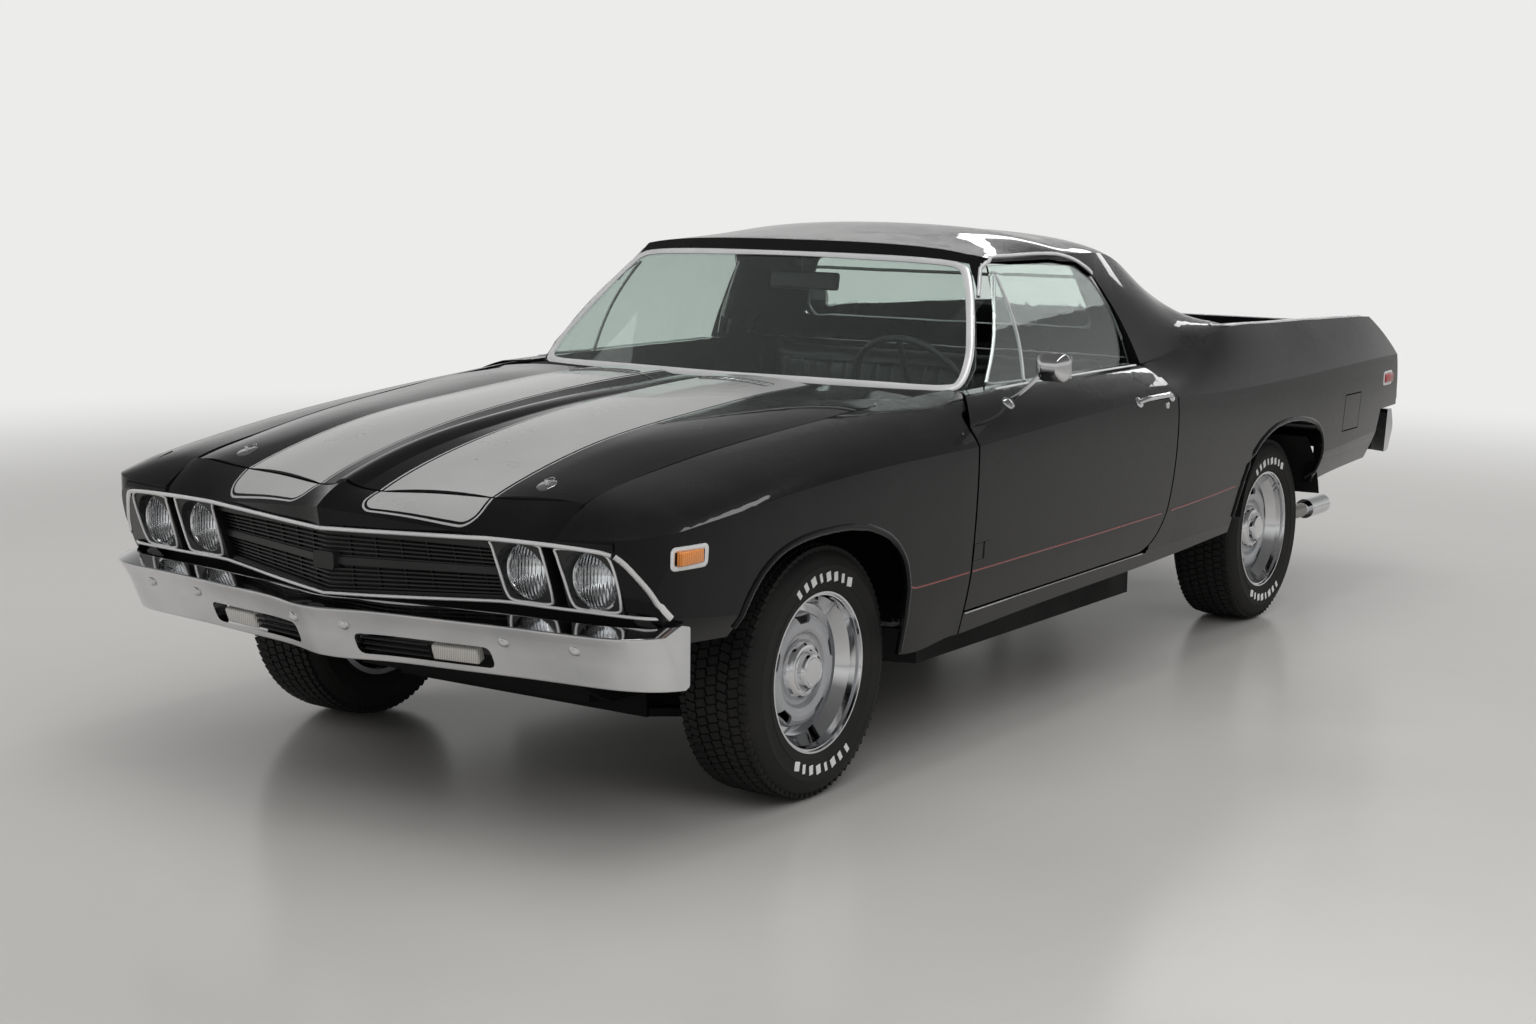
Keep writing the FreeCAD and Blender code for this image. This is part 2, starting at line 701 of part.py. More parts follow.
def across_prism(outline, y0, y1):
    """Closed outline of (x, z) pairs drawn out along the car."""
    points = [Vector(x, y0, z) for x, z in outline]
    return Part.Face(Part.makePolygon(points + [points[0]])).extrude(Vector(0, y1 - y0, 0))


def rear_window_prism(grow):
    low, high = rear_window_half_low + grow, rear_window_half_high + grow
    outline = [(-low, rear_window_bottom - grow), (low, rear_window_bottom - grow),
               (high, rear_window_top + grow), (-high, rear_window_top + grow)]
    reach = rear_window_round
    return round_across_prism(outline, [reach, reach, reach, reach], along(bed_space_front_share),
                              far_behind)


def sail_ridge_line():
    points = []
    for share, out, up in drip_shares[4:]:
        points.append((out * half_width, along(share)))
    return points


def make_cab():
    shell = cab_solid(cab_stations_share, 0.0, 0.0)
    front = leaning_band(-half_width, 0.0)
    shell = shell.cut(front)
    room = cab_solid(room_stations_share, cab_skin, void_drop)
    behind_wall = rear_slab(0.0, wheelbase)
    shell = shell.cut(room.cut(behind_wall))
    bed_stations = [s for s in cab_stations_share if s > bed_space_front_share] + [bed_space_rear_share]
    bed_space = cab_solid(bed_stations, sail_thickness, void_drop)
    wall = rear_slab(0.0, rear_wall_thickness)
    ahead_of_wall = rear_slab(-wheelbase, rear_wall_thickness)
    shell = shell.cut(bed_space.cut(ahead_of_wall))
    ridge = sail_ridge_line()
    far = far_behind
    wedge = plan_prism([(-x, y) for x, y in ridge] + [(-ridge[-1][0], far), (ridge[-1][0], far)]
                       + [(x, y) for x, y in reversed(ridge)], belt_height(), roof_height + overrun)
    shell = shell.cut(wedge.cut(ahead_of_wall))
    for side in (1, -1):
        opening = side_prism(window_outline(0.0), window_cut_x, half_width)
        low = box(window_cut_x, half_width, window_outline(0.0)[0][0],
                  window_outline(0.0)[-1][0] + panel_gap,
                  belt_height() - half_width / 4, window_outline(0.0)[0][1])
        cutter = opening.fuse(low)
        shell = shell.cut(cutter if side > 0 else mirrored(cutter))
    shell = shell.cut(rear_window_prism(0.0).common(rear_slab(-overrun, rear_wall_thickness + overrun)))
    front = ahead_of(spot(pillar_foot_share), spot(pillar_head_share), spot(pillar_side_share))
    front = front.common(box(0, half_width * 2, far_ahead, far_behind, 0, roof_height * 2))
    return shell.cut(front).cut(mirrored(front))


def belt_height():
    return belt_shares[2][2] * roof_height


def make_windshield():
    sheet = leaning_band(glass_set_back, glass_set_back + glass_thickness)
    room = cab_solid(room_stations_share, cab_skin, void_drop)
    above_cowl = box(-glass_half, glass_half, along(glass_front_share), along(glass_rear_share),
                     windshield_base_z, roof_height)
    return sheet.common(room).common(above_cowl)


def make_rear_window():
    middle = (rear_wall_thickness - glass_thickness) / 2
    return rear_slab(middle, middle + glass_thickness).common(rear_window_prism(-hair_gap))


# Rear quarters
quarter_inner_x_share = 0.80585
quarter_inner_x = quarter_inner_x_share * half_width
quarter_stations_share = [0.560, 0.640, 0.720, 0.800, 0.860, 0.930, 1.000, 1.080, 1.149, 1.251, 1.351, 1.425]
tail_profile_shares = [(1.3515, 0.760), (1.3515, 0.737), (1.3700, 0.688), (1.3930, 0.628), (1.4020, 0.560),
                       (1.4065, 0.505), (1.4080, 0.487), (1.3300, 0.4870), (1.3130, 0.356), (1.3050, 0.300)]
quarter_skirt = 34.0
skirt_top_share = 0.42493
skirt_top = skirt_top_share * roof_height
fuel_door_y0_share = 1.17447
fuel_door_y0 = along(fuel_door_y0_share)
fuel_door_y1_share = 1.23388
fuel_door_y1 = along(fuel_door_y1_share)
fuel_door_z0_share = 0.45538
fuel_door_z0 = fuel_door_z0_share * roof_height
fuel_door_z1_share = 0.54816
fuel_door_z1 = fuel_door_z1_share * roof_height
fuel_door_thickness = 12.0
fuel_pocket_depth = 40.0
fuel_stations_share = [1.080, 1.149, 1.251, 1.351]


def make_quarter():
    wires = [thick_section(s, bed_rail_shares, rail_round_share, rail_fall_share, quarter_inner_x)
             for s in quarter_stations_share]
    quarter = loft(wires)
    line = door_rear_line(panel_gap / 2)
    front_y, far = along(door_step_front_share), far_behind
    ahead = smooth_side_prism(line, [(line[-1][0], 0.0), (front_y, 0.0), (front_y, line[0][1])],
                              0.0, half_width + overrun)
    quarter = quarter.cut(ahead)
    rocker_z = seam_height(along(door_rear_share)) + panel_gap / 2
    quarter = quarter.cut(box(0, half_width + overrun, front_y, along(rear_arch_shares[2][0]), 0, rocker_z))
    quarter = quarter.cut(box(0, half_width + overrun, front_y, along(door_foot_share) + panel_gap, 0,
                              line[-3][1]))
    quarter = trim_side(quarter, rear_arch_shares)
    tail = [(along(s), h * roof_height) for s, h in tail_profile_shares]
    behind = side_prism(tail + [(far, tail[-1][1]), (far, tail[0][1])], 0.0, half_width + overrun)
    quarter = quarter.cut(behind)
    arch_end = along(rear_arch_shares[-1][0])
    for y0, y1 in ((arch_end - overrun, far), (front_y, along(rear_arch_shares[0][0]) + overrun)):
        stations = [s for s in quarter_stations_share]
        inner = loft([shell_core(s) for s in stations])
        inner = inner.common(box(0, half_width, y0, y1, 0, skirt_top))
        quarter = quarter.cut(inner)
    return quarter


def shell_core(share):
    shoulder = body_point(shoulder_shares, share)
    crease, sill = crease_point(share), sill_point(share)
    y = shoulder.y
    points = [Vector(quarter_inner_x - overrun, y, -overrun), Vector(sill.x - quarter_skirt, y, -overrun),
              Vector(sill.x - quarter_skirt, y, sill.z), Vector(crease.x - quarter_skirt, y, crease.z),
              Vector(shoulder.x - quarter_skirt, y, shoulder.z), Vector(quarter_inner_x - overrun, y,
                                                                        shoulder.z)]
    return Part.makePolygon(points + [points[0]])


def make_fuel_door(grow, depth0, depth1):
    """Lid that follows the body side, between two depths under the skin."""
    wires = []
    for s in fuel_stations_share:
        shoulder = body_point(shoulder_shares, s)
        crease, sill = crease_point(s), sill_point(s)
        middle = between(shoulder, crease, side_bulge_share) + Vector(side_bulge, 0, 0)
        outer = bent(shoulder - Vector(depth0, 0, 0), middle - Vector(depth0, 0, 0),
                     crease - Vector(depth0, 0, 0))
        inner = bent(shoulder - Vector(depth1, 0, 0), middle - Vector(depth1, 0, 0),
                     crease - Vector(depth1, 0, 0))
        ends = [straight(shoulder - Vector(depth0, 0, 0), shoulder - Vector(depth1, 0, 0)),
                straight(crease - Vector(depth0, 0, 0), crease - Vector(depth1, 0, 0))]
        wires.append(Part.Wire(Part.__sortEdges__([outer, inner] + ends)))
    sheet = loft(wires)
    return sheet.common(box(0, half_width + overrun, fuel_door_y0 - grow, fuel_door_y1 + grow,
                            fuel_door_z0 - grow, fuel_door_z1 + grow))


# Rockers under the doors
rocker_depth = 60.0
rocker_front_share = 0.2125
rocker_rear_share = 0.900
rocker_stations_share = [0.205, 0.300, 0.420, 0.560, 0.700, 0.850]


def make_rocker():
    wires = []
    for s in rocker_stations_share:
        shoulder, crease, sill = body_point(shoulder_shares, s), crease_point(s), sill_point(s)
        outer = skin_edges(body_point(bed_rail_shares, max(s, bed_rail_shares[0][0])), shoulder, crease,
                           sill,
                           rail_round_share, rail_fall_share)
        low = Vector(crease.x - quarter_skirt - rocker_depth, sill.y, sill.z)
        high = Vector(low.x, low.y, crease.z)
        wires.append(Part.Wire(Part.__sortEdges__([outer[2], straight(sill, low), straight(low, high),
                                                   straight(high, crease)])))
    rocker = loft(wires)
    rear = seam_height(along(door_rear_share))
    front = seam_height(along(door_front_share))
    start, end = front_axle_place, along(rocker_rear_share)
    top = [(start, front - panel_gap / 2), (along(door_foot_share) - hair_gap, rear - panel_gap / 2),
           (along(door_foot_share), rear + panel_gap / 2 - hair_gap),
           (end, rear + panel_gap / 2 - hair_gap), (end, roof_height), (start, roof_height)]
    rocker = rocker.cut(side_prism(top, 0.0, half_width + overrun))
    rocker = trim_side(rocker, rear_arch_shares)
    return rocker.cut(box(0, half_width + overrun, far_ahead, along(rocker_front_share), 0, roof_height))


# Hood and nose
hood_front_y_share = -0.27189
hood_front_y = along(hood_front_y_share)
hood_corner_y_share = -0.23320
hood_corner_y = along(hood_corner_y_share)
hood_rear_y_share = 0.20706
hood_rear_y = along(hood_rear_y_share)
hood_rear_corner_y_share = 0.21690
hood_rear_corner_y = along(hood_rear_corner_y_share)
hood_thickness = 20.0
hood_side_gap = 5.6
spine_half_share = 0.04802
spine_half = spine_half_share * half_width
bulge_inner_share = 0.10856
bulge_inner = bulge_inner_share * half_width
bulge_outer_share = 0.42589
bulge_outer = bulge_outer_share * half_width
# Station share, then the heights of the spine, the spine's foot, the bulge's outer edge, as roof shares
hood_shares = [
    (-0.300, 0.560, 0.545, 0.536, 0.530), (-0.272, 0.588, 0.574, 0.566, 0.556),
    (-0.238, 0.610, 0.599, 0.593, 0.583), (-0.182, 0.639, 0.628, 0.624, 0.615),
    (-0.100, 0.664, 0.655, 0.656, 0.648), (-0.010, 0.681, 0.675, 0.679, 0.668),
    (0.080, 0.691, 0.686, 0.694, 0.683), (0.150, 0.696, 0.692, 0.702, 0.692),
    (0.225, 0.699, 0.696, 0.706, 0.698)]
bulge_crown = 9.0


def hood_section(share, edge_inset, drop):
    y = along(share)
    spine, foot, inner, outer = [h * roof_height - drop for h in follow(hood_shares, share)]
    seam = body_point(seam_shares, share)
    edge = Vector(seam.x - edge_inset, y, seam.z - drop)
    peak = Vector(0, y, spine)
    foot_point = Vector(spine_half, y, foot)
    inner_point = Vector(bulge_inner, y, inner)
    outer_point = Vector(bulge_outer, y, outer)
    crown = Vector((bulge_inner + bulge_outer) / 2, y, (inner + outer) / 2 + bulge_crown * 2)
    fall = Vector(between(outer_point, edge, 0.5).x, y, between(outer_point, edge, 0.5).z + bulge_crown * 2)
    round_top = Vector(spine_half / 2, y, spine)
    return [bent(peak, round_top, foot_point), straight(foot_point, inner_point),
            bent(inner_point, crown, outer_point), bent(outer_point, fall, edge)], edge


def hood_wire(share, edge_inset, top_drop, thickness):
    top, edge = hood_section(share, edge_inset, top_drop)
    low, low_edge = hood_section(share, edge_inset, top_drop + thickness)
    side = straight(edge, low_edge)
    half = top + [side] + low
    other = [mirrored(e) for e in half]
    return Part.Wire(Part.__sortEdges__(half + other))


def hood_front_plan(offset):
    return [(0.0, hood_front_y + offset), (seam_shares[2][1] * half_width, hood_corner_y + offset)]


def make_hood():
    hood = loft([hood_wire(row[0], hood_side_gap, 0.0, hood_thickness) for row in hood_shares[1:]])
    (x0, y0), (x1, y1) = hood_front_plan(panel_gap / 2)
    slope = (y1 - y0) / (x1 - x0)
    edge_y = y0 + slope * half_width
    far = far_ahead
    hood = hood.cut(plan_prism([(0, y0), (half_width, edge_y), (half_width, far), (-half_width, far),
                                (-half_width, edge_y)], 0.0, roof_height))
    rear = far_behind
    hood = hood.cut(plan_prism([(0, hood_rear_y), (half_width, hood_rear_corner_y), (half_width, rear),
                                (-half_width, rear), (-half_width, hood_rear_corner_y)], 0.0, roof_height))
    ear = rod(Vector(hood_pin_x - hair_gap - hood_ear_length, hood_pin_y, hood_pin_z),
              Vector(hood_pin_x - hair_gap, hood_pin_y, hood_pin_z), hood_ear_radius)
    ear = ear.fuse(box(hood_pin_x - hair_gap - hood_ear_length, hood_pin_x - hair_gap,
                       hood_pin_y - hood_ear_radius,
                       hood_pin_y + hood_ear_radius, hood_pin_z, hood_pin_z + hood_ear_rise))
    pin = rod(Vector(hood_pin_x - hood_ear_length, hood_pin_y, hood_pin_z),
              Vector(hood_pin_x + hood_ear_length, hood_pin_y, hood_pin_z), hood_pin_radius)
    return fused([hood, ear, pin, mirrored(ear), mirrored(pin)])


def nose_face(x):
    return nose_face_middle + (nose_face_side - nose_face_middle) * min(1.0, x / grille_half)


nose_face_middle = 48.0
nose_face_side = 6.0

# Front panel between the hood and the grille: out, forward place and height of its lip
nose_lip_shares = [
    (0.0000, -0.30414, 0.54958), (0.1670, -0.29328, 0.53966), (0.3445, -0.28208, 0.52975),
    (0.4875, -0.27461, 0.52337), (0.5846, -0.27291, 0.52266), (0.6889, -0.27122, 0.52195)]
nose_thickness = 16.0
nose_bulge = 12.0
nose_bulge_share = 0.45


def make_header():
    wires = []
    (x0, y0), (x1, y1) = hood_front_plan(-panel_gap / 2)
    for row in nose_lip_shares:
        lip = spot(row)
        x = min(lip.x, seam_shares[2][1] * half_width - hair_gap)
        back_y = y0 + (y1 - y0) * x / x1
        share = (back_y - front_axle_place) / wheelbase
        back_z = hood_height(x, share)
        lip.x = x
        back = Vector(x, back_y, back_z)
        control = between(lip, back, nose_bulge_share) + Vector(0, 0, nose_bulge)
        top = between(grille_top_front, grille_top_side, min(1.0, x / grille_half)).z
        low_lip = Vector(x, lip.y + nose_thickness / 2, max(top + moulding_height / 2, lip.z - nose_face(x)))
        low_back = back + Vector(0, 0, -nose_thickness * 2)
        low_control = between(low_lip, low_back, nose_bulge_share) + Vector(0, 0, nose_bulge)
        wires.append(Part.Wire([bent(lip, control, back), straight(back, low_back),
                                bent(low_back, low_control, low_lip), straight(low_lip, lip)]))
    half = loft(wires)
    return fused([half, mirrored(half)])


def hood_height(x, share):
    """Height of the hood's top at a place out from the centre."""
    spine, foot, inner, outer = [h * roof_height for h in follow(hood_shares, share)]
    seam = body_point(seam_shares, share)
    rows = [(0.0, spine), (spine_half, foot), (bulge_inner, inner),
            ((bulge_inner + bulge_outer) / 2, (inner + outer) / 2 + bulge_crown), (bulge_outer, outer),
            ((bulge_outer + seam.x) / 2, (outer + seam.z) / 2 + bulge_crown), (seam.x + overrun, seam.z)]
    for (xa, za), (xb, zb) in zip(rows, rows[1:]):
        if x <= xb:
            return za + (zb - za) * (x - xa) / (xb - xa)
    return seam.z


# Headlamps and their housings: corner places as outer-top, inner-top, inner-bottom, outer-bottom
lamp_ring_radius = 69.0
lamp_depth = 60.0
lamp_shares = [(-0.17, 0.0), (-0.155, 0.25), (-0.12, 0.50), (-0.06, 0.75), (0.02, 0.915), (-0.05, 0.945),
               (-0.05, 0.985), (0.0, 1.0), (0.20, 1.0), (0.50, 0.80), (1.0, 0.40), (1.0, 0.0)]
outer_lamp_share = (0.7547, -0.24678, 0.46459)
outer_lamp = spot(outer_lamp_share)
inner_lamp_share = (0.5605, -0.25119, 0.46742)
inner_lamp = spot(inner_lamp_share)
outer_corner_shares = [(0.8340, -0.26511, 0.51771), (0.6743, -0.27020, 0.51912),
                       (0.6743, -0.25153, 0.41147), (0.8319, -0.24779, 0.41147)]
outer_corners = [spot(row) for row in outer_corner_shares]
inner_corner_shares = [(0.6388, -0.27155, 0.51983), (0.4823, -0.27393, 0.52054),
                       (0.4823, -0.25560, 0.41218), (0.6388, -0.25255, 0.41147)]
inner_corners = [spot(row) for row in inner_corner_shares]


def make_housing(corners, lamp):
    back = core_front_y
    block = across_prism([(c.x, c.z) for c in corners], back - half_width / 2, back)
    block = block.cut(ahead_of(corners[0], corners[1], corners[2]))
    return block.cut(lamp_hole(lamp))


def lamp_hole(lamp):
    """Round hole that clears a lamp, from ahead of the nose to the panel behind the lamps."""
    return rod(Vector(lamp.x, core_front_y - half_width / 2, lamp.z),
               Vector(lamp.x, core_front_y + hair_gap, lamp.z), lamp_ring_radius + hair_gap)


def make_lamp(lamp):
    """Round sealed lamp: domed lens, ring and bowl, turned about its own axis along the car."""
    outline = [(back * lamp_depth, out * lamp_ring_radius) for back, out in lamp_shares]
    return turned(outline, lamp, Vector(0, 1, 0))


# Grille
grille_half_share = 0.48225
grille_half = grille_half_share * half_width
grille_top_front_share = (0.0000, -0.29905, 0.51133)
grille_top_front = spot(grille_top_front_share)
grille_top_side_share = (grille_half_share, -0.26714, 0.50708)
grille_top_side = spot(grille_top_side_share)
grille_low_front_share = (0.0000, -0.29464, 0.40085)
grille_low_front = spot(grille_low_front_share)
grille_low_side_share = (grille_half_share, -0.25085, 0.41360)
grille_low_side = spot(grille_low_side_share)
grille_depth = 30.0
grille_recess = 22.0
fin_height = 3.6
fin_set_back = 12.0
fin_count = 6
bar_share = 0.5
bar_height = 17.0
bar_set_back = 4.0
divider_shares = [0.13, 0.28, 0.43, 0.58, 0.73, 0.88]
divider_width = 2.4
divider_set_back = 15.0
plaque_half = 34.0
plaque_tall = 42.0
plaque_round = 10.0
plaque_stand_out = 3.0
moulding_height = 12.0
moulding_depth = 20.0


def grille_point(x, height_share, back):
    """Place on the grille's front: out from the centre, up from its lower edge, and set back."""
    low = between(grille_low_front, grille_low_side, x / grille_half)
    high = between(grille_top_front, grille_top_side, x / grille_half)
    point = between(low, high, height_share)
    return Vector(point.x, point.y + back, point.z)


def grille_bar(height_share, height, back, depth):
    wires = []
    for x in (0.0, grille_half):
        middle = grille_point(x, height_share, back)
        up = Vector(0, 0, height / 2)
        push = Vector(0, depth, 0)
        corners = [middle - up, middle + up, middle + up + push, middle - up + push]
        wires.append(Part.makePolygon(corners + [corners[0]]))
    half = loft(wires, True)
    return half.fuse(mirrored(half))


def make_divider(share):
    """Upright rib across the fins, at a share of the grille's half width; a pair of them."""
    x = share * grille_half
    low, high = grille_point(x, 0.0, divider_set_back), grille_point(x, 1.0, divider_set_back)
    push = Vector(0, grille_recess + grille_depth - divider_set_back, 0)
    face = Part.Face(Part.makePolygon([low, high, high + push, low + push, low]))
    rib = face.extrude(Vector(divider_width, 0, 0))
    return rib.fuse(mirrored(rib))


def make_plaque():
    """Bare plate at the middle of the bar."""
    middle = grille_point(0.0, bar_share, 0.0)
    low, high = middle.z - plaque_tall / 2, middle.z + plaque_tall / 2
    outline = [(-plaque_half, low), (plaque_half, low), (plaque_half, high), (-plaque_half, high)]
    return round_across_prism(outline, [plaque_round] * len(outline), middle.y - plaque_stand_out,
                              middle.y + grille_recess + moulding_depth)


def make_grille():
    wires = []
    for x in (0.0, grille_half):
        low, high = grille_point(x, 0.0, grille_recess), grille_point(x, 1.0, grille_recess)
        push = Vector(0, grille_depth, 0)
        corners = [low, high, high + push, low + push]
        wires.append(Part.makePolygon(corners + [corners[0]]))
    half = loft(wires, True)
    pieces = [half, mirrored(half)]
    pieces.append(grille_bar(0.0, moulding_height, 0.0, grille_recess + moulding_depth))
    pieces.append(grille_bar(1.0, moulding_height, 0.0, grille_recess + moulding_depth))
    pieces.append(grille_bar(bar_share, bar_height, bar_set_back, grille_recess + moulding_depth))
    for band in (0, 1):
        for index in range(fin_count):
            share = band * bar_share + bar_share * (index + 1) / (fin_count + 1)
            pieces.append(grille_bar(share, fin_height, fin_set_back,
                                     grille_recess + grille_depth - fin_set_back))
    pieces.extend(make_divider(share) for share in divider_shares)
    pieces.append(make_plaque())
    grille = fused(pieces)
    for side in (1, -1):
        hole = lamp_hole(inner_lamp)
        grille = grille.cut(hole if side > 0 else mirrored(hole))
    return grille


# Front bumper: places out from the centre, with the forward edge there
bumper_shares = [
    (0.0000, -0.32010), (0.1253, -0.31059), (0.3445, -0.29735), (0.5428, -0.28751), (0.7307, -0.28072),
    (0.8351, -0.27461), (0.8998, -0.26375), (0.9447, -0.24440)]
bumper_top_share = 0.39660
bumper_top = bumper_top_share * roof_height
bumper_edge_share = 0.38314
bumper_edge = bumper_edge_share * roof_height
bumper_middle_share = 0.35198
bumper_middle = bumper_middle_share * roof_height
bumper_low_share = 0.28683
bumper_low = bumper_low_share * roof_height
bumper_edge_rise = 8.0
bumper_back_reach = 96.0
bumper_ledge = 62.0
bumper_mid_set = 34.0
bumper_low_set = 76.0
bumper_fillet = 6.0
bumper_bend = 24.0
bumper_opening_round = 20.0


def bumper_wire(x, y):
    points = [(y + bumper_ledge, bumper_top), (y, bumper_edge), (y + bumper_mid_set, bumper_middle),
              (y + bumper_low_set, bumper_low), (y + bumper_back_reach, bumper_low + bumper_edge_rise),
              (y + bumper_back_reach, bumper_top - bumper_edge_rise)]
    corners = [Vector(x, a, b) for a, b in points]
    return rounded_wire(corners, [bumper_fillet, bumper_fillet, bumper_bend, bumper_fillet, bumper_fillet,
                                  bumper_fillet])


def make_front_bumper(fender):
    half = loft([bumper_wire(out * half_width, along(back)) for out, back in bumper_shares])
    bumper = fused([half, mirrored(half)])
    for side in (1, -1):
        x0, x1 = sorted((side * bumper_opening_in, side * bumper_opening_out))
        hole = [(x0, bumper_opening_low), (x1, bumper_opening_low), (x1, bumper_opening_high),
                (x0, bumper_opening_high)]
        bumper = bumper.cut(round_across_prism(hole, [bumper_opening_round] * len(hole), far_ahead,
                                               front_axle_place))
    return bumper.cut(fender).cut(mirrored(fender))


bumper_opening_in_share = 0.10021
bumper_opening_in = bumper_opening_in_share * half_width
bumper_opening_out_share = 0.48643
bumper_opening_out = bumper_opening_out_share * half_width
bumper_opening_low_share = 0.30028
bumper_opening_low = bumper_opening_low_share * roof_height
bumper_opening_high_share = 0.33853
bumper_opening_high = bumper_opening_high_share * roof_height
signal_out_share = 0.37265
signal_out = signal_out_share * half_width
signal_front_share = -0.28344
signal_front = along(signal_front_share)
signal_half = 70.0
signal_depth = 52.0
signal_round = 12.0
marker_front_share = (0.9916, -0.21589, 0.50637)
marker_front = spot(marker_front_share)
marker_rear_share = (0.9916, 1.34861, 0.57082)
marker_rear = spot(marker_rear_share)
marker_half = 42.0
marker_tall = 15.0
marker_depth = 9.0


def make_marker_lamps(fender, quarter):
    low, high = bumper_opening_low + hair_gap, bumper_opening_high - hair_gap
    outline = [(signal_out - signal_half, low), (signal_out + signal_half, low),
               (signal_out + signal_half, high),
               (signal_out - signal_half, high)]
    signal = round_across_prism(outline, [signal_round] * len(outline), signal_front,
                                signal_front + signal_depth)
    pieces = [signal]
    for marker in (marker_front, marker_rear):
        share = (marker.y - front_axle_place) / wheelbase
        skin = side_skin(share, marker.z)
        pieces.append(box(skin - touch_overlap / 2, skin + marker_depth, marker.y - marker_half,
                          marker.y + marker_half, marker.z - marker_tall, marker.z + marker_tall))
    pieces = [piece.cut(fender).cut(quarter) for piece in pieces]
    return both(Part.makeCompound(pieces))


# Rear bumper
rear_bumper_shares = [
    (0.0000, 1.43279), (0.4175, 1.43143), (0.7307, 1.42668), (0.8768, 1.41989), (0.9447, 1.40767)]
rear_bumper_top_share = 0.47592
rear_bumper_top = rear_bumper_top_share * roof_height
rear_bumper_mid_share = 0.42493
rear_bumper_mid = rear_bumper_mid_share * roof_height
rear_bumper_low_share = 0.35765
rear_bumper_low = rear_bumper_low_share * roof_height
rear_bumper_depth = 70.0
rear_bumper_tuck = 52.0


def rear_bumper_wire(x, y):
    points = [(y - rear_bumper_depth, rear_bumper_top), (y - rear_bumper_tuck / 2, rear_bumper_top),
              (y, rear_bumper_mid), (y - rear_bumper_tuck, rear_bumper_low),
              (y - rear_bumper_depth - rear_bumper_tuck / 2, rear_bumper_low)]
    corners = [Vector(x, a, b) for a, b in points]
    return rounded_wire(corners, [0, bumper_fillet, bumper_bend, bumper_bend, 0])


def make_rear_bumper():
    half = loft([rear_bumper_wire(out * half_width, along(back)) for out, back in rear_bumper_shares], True)
    bumper = fused([half, mirrored(half)])
    recess = box(-plate_half, plate_half, plate_back_y, wheelbase, plate_low, plate_high)
    bumper = bumper.cut(recess)
    for x in (-plate_hole_x, plate_hole_x):
        bumper = bumper.cut(rod(Vector(x, sill_rear_y - overrun, plate_hole_z),
                                Vector(x, plate_back_y + overrun, plate_hole_z), plate_hole_radius))
    return bumper


plate_half = 165.0
plate_back_y_share = 1.41107
plate_back_y = along(plate_back_y_share)
plate_hole_x = 88.9
plate_hole_z_share = 0.45042
plate_hole_z = plate_hole_z_share * roof_height
plate_hole_radius = 3.25
plate_low_share = 0.36827
plate_low = plate_low_share * roof_height
plate_high = rear_bumper_top

# Bed
bed_floor_z_share = 0.47309
bed_floor_z = bed_floor_z_share * roof_height
bed_floor_thickness = 18.0
bed_front_y_share = 0.71724
bed_front_y = along(bed_front_y_share)
bed_wall = 26.0
sill_rear_y_share = 1.40054
sill_rear_y = along(sill_rear_y_share)
sill_low_share = 0.42493
sill_low = sill_low_share * roof_height
sill_step = 2.0
sill_top = bed_floor_z - sill_step
bed_half = quarter_inner_x - hair_gap * 3
wheelhouse_inner_share = 0.61169
wheelhouse_inner = wheelhouse_inner_share * half_width
wheelhouse_y0_share = 0.85777
wheelhouse_y0 = along(wheelhouse_y0_share)
wheelhouse_y1_share = 1.12865
wheelhouse_y1 = along(wheelhouse_y1_share)
wheelhouse_top_share = 0.54674
wheelhouse_top = wheelhouse_top_share * roof_height
wheelhouse_skin = 8.0
bed_front_top_share = 0.69759
bed_front_top = bed_front_top_share * roof_height


def make_bed():
    bed_rear_y = along(tailgate_profile_shares[0][0]) - panel_gap
    floor = box(-bed_half, bed_half, bed_front_y, bed_rear_y, bed_floor_z - bed_floor_thickness, bed_floor_z)
    sill = box(-bed_half, bed_half, bed_rear_y - touch_overlap, sill_rear_y, sill_low, sill_top)
    wall = box(-bed_half, bed_half, bed_front_y, bed_front_y + bed_wall, bed_floor_z - overrun,
               bed_front_top)
    pieces = [floor, sill, wall]
    for side in (1, -1):
        x0, x1 = sorted((side * wheelhouse_inner, side * bed_half))
        pieces.append(box(x0, x1, wheelhouse_y0, wheelhouse_y1, bed_floor_z - overrun, wheelhouse_top))
    bed = fused(pieces)
    for side in (1, -1):
        x0, x1 = sorted((side * (wheelhouse_inner + wheelhouse_skin), side * (bed_half + overrun)))
        bed = bed.cut(box(x0, x1, wheelhouse_y0 + wheelhouse_skin, wheelhouse_y1 - wheelhouse_skin, 0.0,
                          wheelhouse_top - wheelhouse_skin))
    return bed


# Tailgate
tailgate_profile_shares = [(1.3790, 0.4820), (1.3640, 0.6200), (1.3545, 0.7180), (1.3625, 0.7180),
                           (1.3925, 0.6280), (1.4015, 0.5600), (1.4030, 0.4820)]
tailgate_pin_y_share = 1.39817
tailgate_pin_y = along(tailgate_pin_y_share)
tailgate_pin_z_share = 0.49150
tailgate_pin_z = tailgate_pin_z_share * roof_height
tailgate_pin_radius = 7.0


def make_tailgate():
    outline = [(along(s), h * roof_height) for s, h in tailgate_profile_shares]
    half = quarter_inner_x - panel_gap
    gate = side_prism(outline, -half, half)
    reach = quarter_inner_x - hair_gap
    pin = rod(Vector(-reach, tailgate_pin_y, tailgate_pin_z), Vector(reach, tailgate_pin_y, tailgate_pin_z),
              tailgate_pin_radius)
    return fused([gate, pin])


